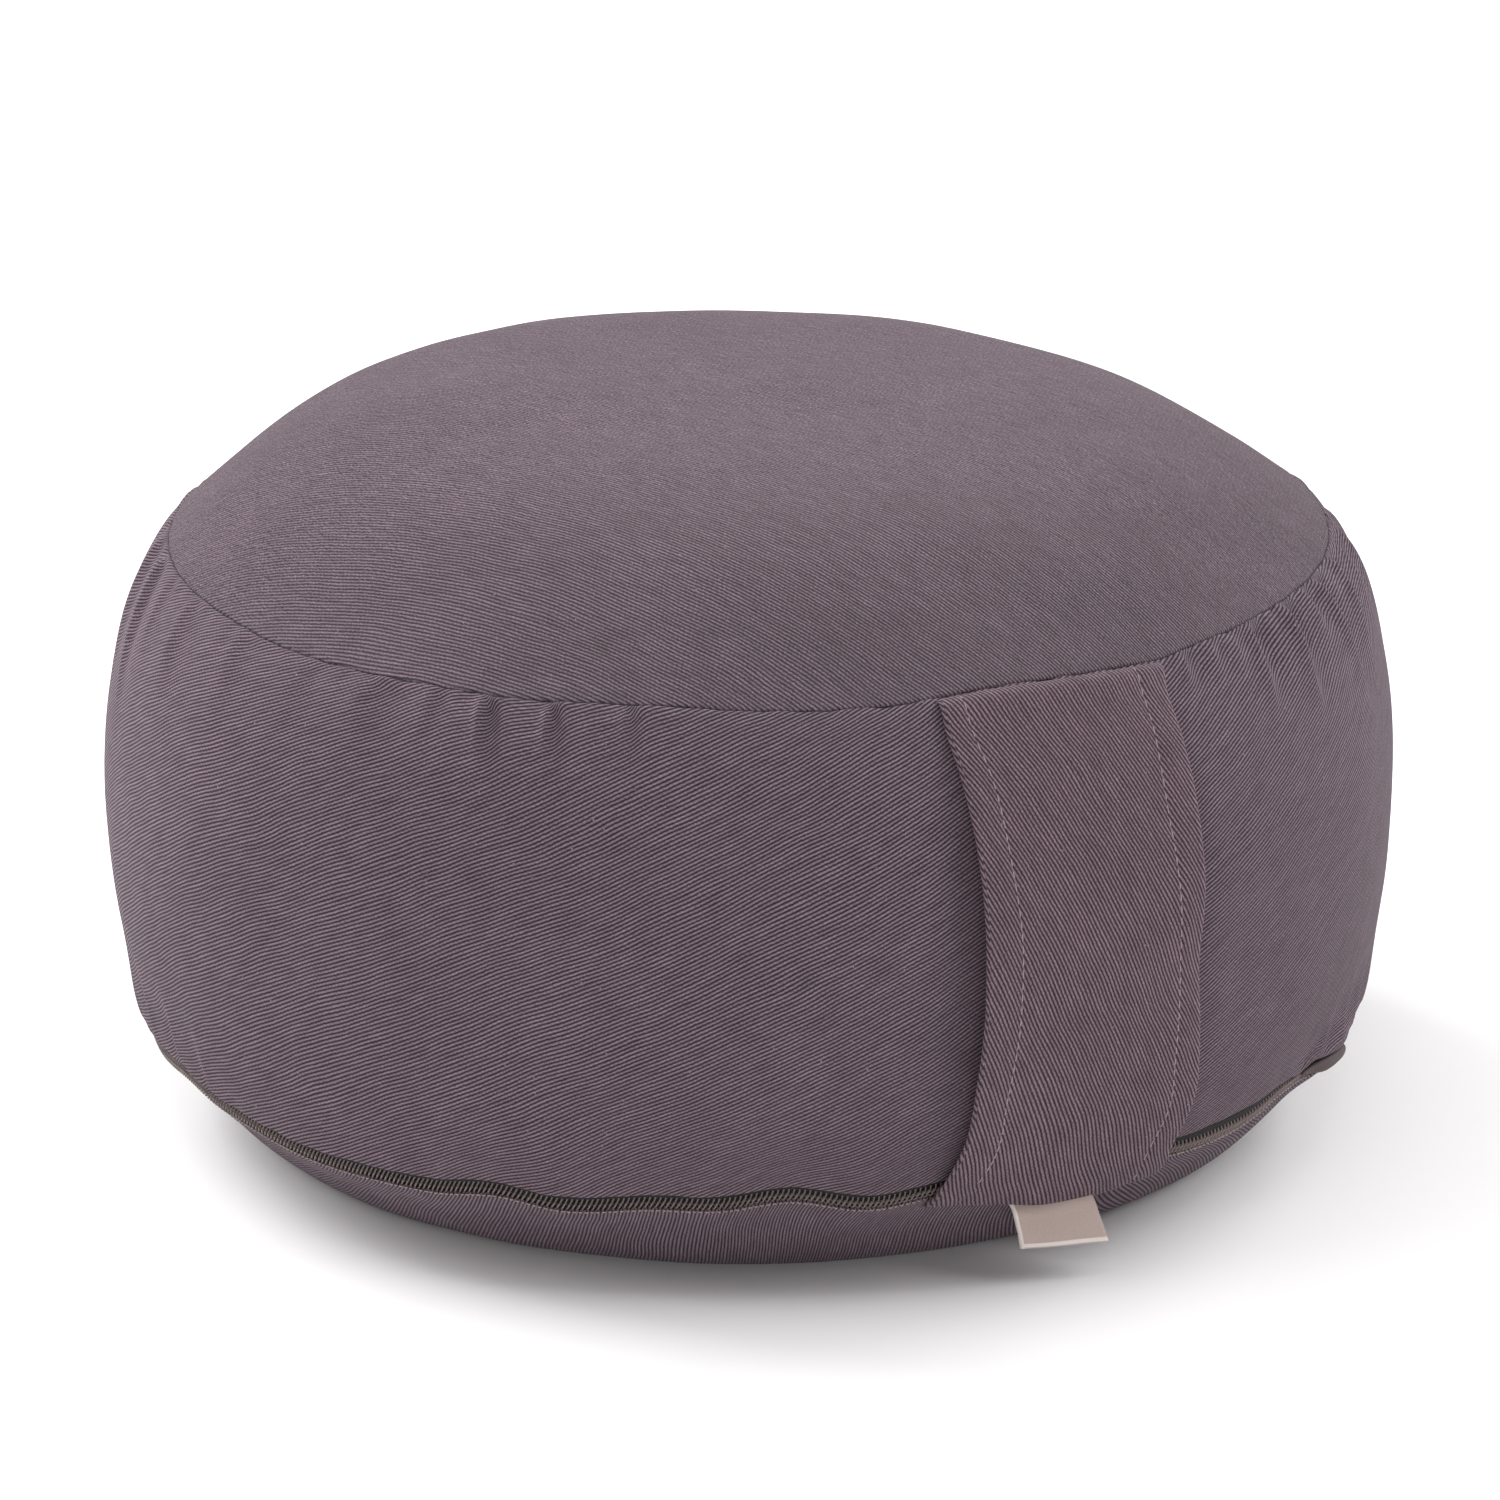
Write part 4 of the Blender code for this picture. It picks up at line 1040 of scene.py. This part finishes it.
# Polyester satin ribbon, woven and heat-cut: pale taupe, smooth, soft gloss, a paler selvedge and fold.
def satinRibbon():
    material, add = newMaterial("satin ribbon woven")
    flat = add("UVMap", {}, uv_map="flat")["UV"]
    parts = add("SeparateXYZ", {"Vector": flat})
    fromFold = add("Math", {0: parts["Y"], 1: label["long"] + 0.9}, operation="SUBTRACT")["Value"]
    awayFold = add("Math", {0: fromFold}, operation="ABSOLUTE")["Value"]
    edge, inner = (reach - label["width"] / 2 for reach in label["selvedge"])
    selvedge, fold = (
        add("MapRange", {"Value": place, "From Min": low, "From Max": high, "To Min": 1.0,
                         "To Max": 0.0}, interpolation_type="SMOOTHSTEP")["Result"]
        for place, low, high in ((parts["X"], edge, inner), (awayFold, 0.35, 0.7)))
    pale = add("Math", {0: selvedge, 1: fold}, operation="MAXIMUM")["Value"]
    weave = add("TexNoise", {"Vector": flat, "Scale": 2.2, "Detail": 2.0}, noise_dimensions="2D")["Fac"]
    ground = add("Mix", {"Factor": weave, "A": "#a6938d", "B": "#b6a49d"}, data_type="RGBA")["Result"]
    colour = add("Mix", {"Factor": pale, "A": ground, "B": "#d9cfca"}, data_type="RGBA")["Result"]
    return shaded(material, {"Base Color": colour, "Roughness": 0.5, "Sheen Weight": 0.2,
                             "Specular IOR Level": 0.35})


# Nylon coil, extruded and dyed brown grey: round smooth filament with small soft highlights.
def nylonCoil():
    material, add = newMaterial("nylon coil extruded")
    place = add("TexCoord", {})["Object"]
    dye = add("TexNoise", {"Vector": place, "Scale": 900.0, "Detail": 1.0})["Fac"]
    colour = add("Mix", {"Factor": dye, "A": "#6b5f5f", "B": "#82746f"}, data_type="RGBA")["Result"]
    return shaded(material, {"Base Color": colour, "Roughness": 0.42})


# Polyester zip tape, woven flat: dull dark brown grey with fine cross ribs 0.6 mm apart.
def wovenTape(name, furrow, rib):
    material, add = newMaterial(name)
    flat = add("UVMap", {}, uv_map="flat")["UV"]
    ribs = add("TexWave", {"Vector": flat, "Scale": math.pi / 10 / 0.6}, bands_direction="X",
               wave_profile="SIN")["Fac"]
    colour = add("Mix", {"Factor": ribs, "A": furrow, "B": rib}, data_type="RGBA")["Result"]
    bump = add("Bump", {"Height": ribs, "Strength": 0.6, "Distance": 0.1 * mm})["Normal"]
    return shaded(material, {"Base Color": colour, "Normal": bump, "Roughness": 0.85})


# Polyester sewing thread, plied and lightly glossy.
def sewingThread(name, hexText):
    material, add = newMaterial("polyester thread plied " + name)
    place = add("TexCoord", {})["Object"]
    twist = add("TexNoise", {"Vector": place, "Scale": 1500.0, "Detail": 1.0})["Fac"]
    shade = add("MapRange", {"Value": twist, "To Min": 0.75, "To Max": 1.2})["Result"]
    colour = add("VectorMath", {0: linearColour(hexText)[:3], "Scale": shade},
                 operation="SCALE")["Vector"]
    return shaded(material, {"Base Color": colour, "Roughness": 0.55})


# building: each piece with its material, its slot in the record and the solid that it stands for
for build, material, slotName, stands in (
        (sideBand, cottonTwill("cotton twill woven band", -26.0), "cotton_twill", "side_band"),
        # the top's twill is the band's cloth with painted shade, its colours changed for how light
        # falls on the top
        (topPanel, cottonTwill("cotton twill woven top", 64.0, topLookShaded), "cotton_twill", "top_panel"),
        (bottomPanel, cottonTwill("cotton twill woven underside", -63.0), "cotton_twill",
         "bottom_panel"),
        (carryStrap, cottonTwill("cotton twill woven strap", 64.0, strapLook), "strap_twill",
         "carry_handle"),
        (strapStitches, sewingThread("pale", "#97868e"), None, None),
        # the zip tape's near-black colours, darker than its folded end's, are painted shade: the shadow
        # gap above the chain under the side cloth's edge
        (zipTape, wovenTape("polyester zip tape woven", "#0e0b0c", "#1b1617"), "zip_weave", "zip_tape"),
        (zipTeeth, nylonCoil(), "zip_nylon", "zip_coil"),
        (zipThreads, sewingThread("brown", "#5a4f4f"), None, None),
        (zipEdgeStitches, sewingThread("tan", "#a4938a"), None, None),
        (zipEndFold, wovenTape("polyester zip tape folded", "#43383a", "#5d5052"), "zip_weave", None),
        (topSeamThread, sewingThread("dark", "#231c20"), None, None),
        (labelTab, satinRibbon(), "satin_tab", "label_tab")):
    piece = build()
    piece.data.materials.append(material)
    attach(piece, "root")
    if stands:
        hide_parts(stands)
    print(piece.name, len(piece.data.polygons), "faces")


# studio
studio = {
    "cameraTarget": (0.0, 0.0, 90.0),
    "cameraDistance": 2000.0,
    "cameraAzimuth": -29.3,
    "cameraElevation": 18.76,
    "cameraRoll": -0.37,
    "pixelsPerMm": 3.89,  # at the target, in a 1500 pixel wide picture
    "sensor": 36.0,
    "floorColour": "#faf9f9",
    "floorHalf": 6000.0,
    "floorLevel": -0.4,
    "worldStrength": 0.04,
    "backgroundStrength": 1.0,  # of what the camera itself sees beyond the floor
    "softboxes": [  # name, azimuth from the camera's, elevation, distance and size in metres, watts
        ("overhead", 0, 86, 2.2, (1.8, 1.8), 20.0),
        ("left", -75, 40, 2.2, (1.4, 1.4), 15.0),
        ("leftBack", -126, 36, 2.2, (1.4, 1.4), 56.0),
        ("right", 75, 40, 2.2, (1.4, 1.4), 20.5),
        ("rightBack", 130, 30, 2.2, (1.4, 1.4), 31.0),
        ("frontLow", 0, 14, 2.6, (1.6, 0.8), 20.0),
    ],
}


def aimed(thing, azimuth, elevation, distance):
    # Puts a thing at a distance from the target, azimuth counted from the camera's, facing it
    a, e = math.radians(studio["cameraAzimuth"] + azimuth), math.radians(elevation)
    back = Vector((math.sin(a) * math.cos(e), -math.cos(a) * math.cos(e), math.sin(e)))
    thing.location = Vector(studio["cameraTarget"]) * mm + back * distance
    thing.rotation_euler = (-back).to_track_quat("-Z", "Y").to_euler()
    return thing


def placeCamera():
    camera = linked("camera", bpy.data.cameras.new("camera"))
    aimed(camera, 0.0, studio["cameraElevation"], studio["cameraDistance"] * mm)
    roll = Matrix.Rotation(math.radians(studio["cameraRoll"]), 3, "Z")
    camera.rotation_euler = (camera.rotation_euler.to_matrix() @ roll).to_euler()
    camera.data.sensor_width = studio["sensor"]
    camera.data.lens = studio["sensor"] * studio["pixelsPerMm"] * studio["cameraDistance"] / 1500.0
    camera.data.clip_start, camera.data.clip_end = 0.1, 50.0
    scene.camera = camera


def layFloor():
    half, level = studio["floorHalf"], studio["floorLevel"]
    grid = np.array([[(x, y, level) for x in (-half, half)] for y in (half, -half)])
    floor = surface("floor", grid)
    floor.data.materials.append(shaded(newMaterial("painted board matt")[0], {
        "Base Color": studio["floorColour"], "Roughness": 0.9, "Specular IOR Level": 0.1}))


def lightStudio():
    # Softboxes all round, and a world that is nearly dark but looks white behind the floor's edge
    scene.world = bpy.data.worlds.new("studio")
    scene.world.use_nodes = True
    tree = scene.world.node_tree
    ray = addNode(tree, "LightPath", {})["Is Camera Ray"]
    seen = addNode(tree, "MapRange", {"Value": ray, "To Min": studio["worldStrength"],
                                      "To Max": studio["backgroundStrength"]})["Result"]
    setInputs(tree, tree.nodes["Background"], {"Color": (1, 1, 1, 1), "Strength": seen})
    for name, azimuth, elevation, distance, size, watts in studio["softboxes"]:
        lamp = bpy.data.lights.new(name, "AREA")
        lamp.shape = "RECTANGLE"
        lamp.size, lamp.size_y = size
        lamp.energy = watts
        aimed(linked(name, lamp), azimuth, elevation, distance)


placeCamera()
layFloor()
lightStudio()
scene.view_settings.view_transform = "Standard"
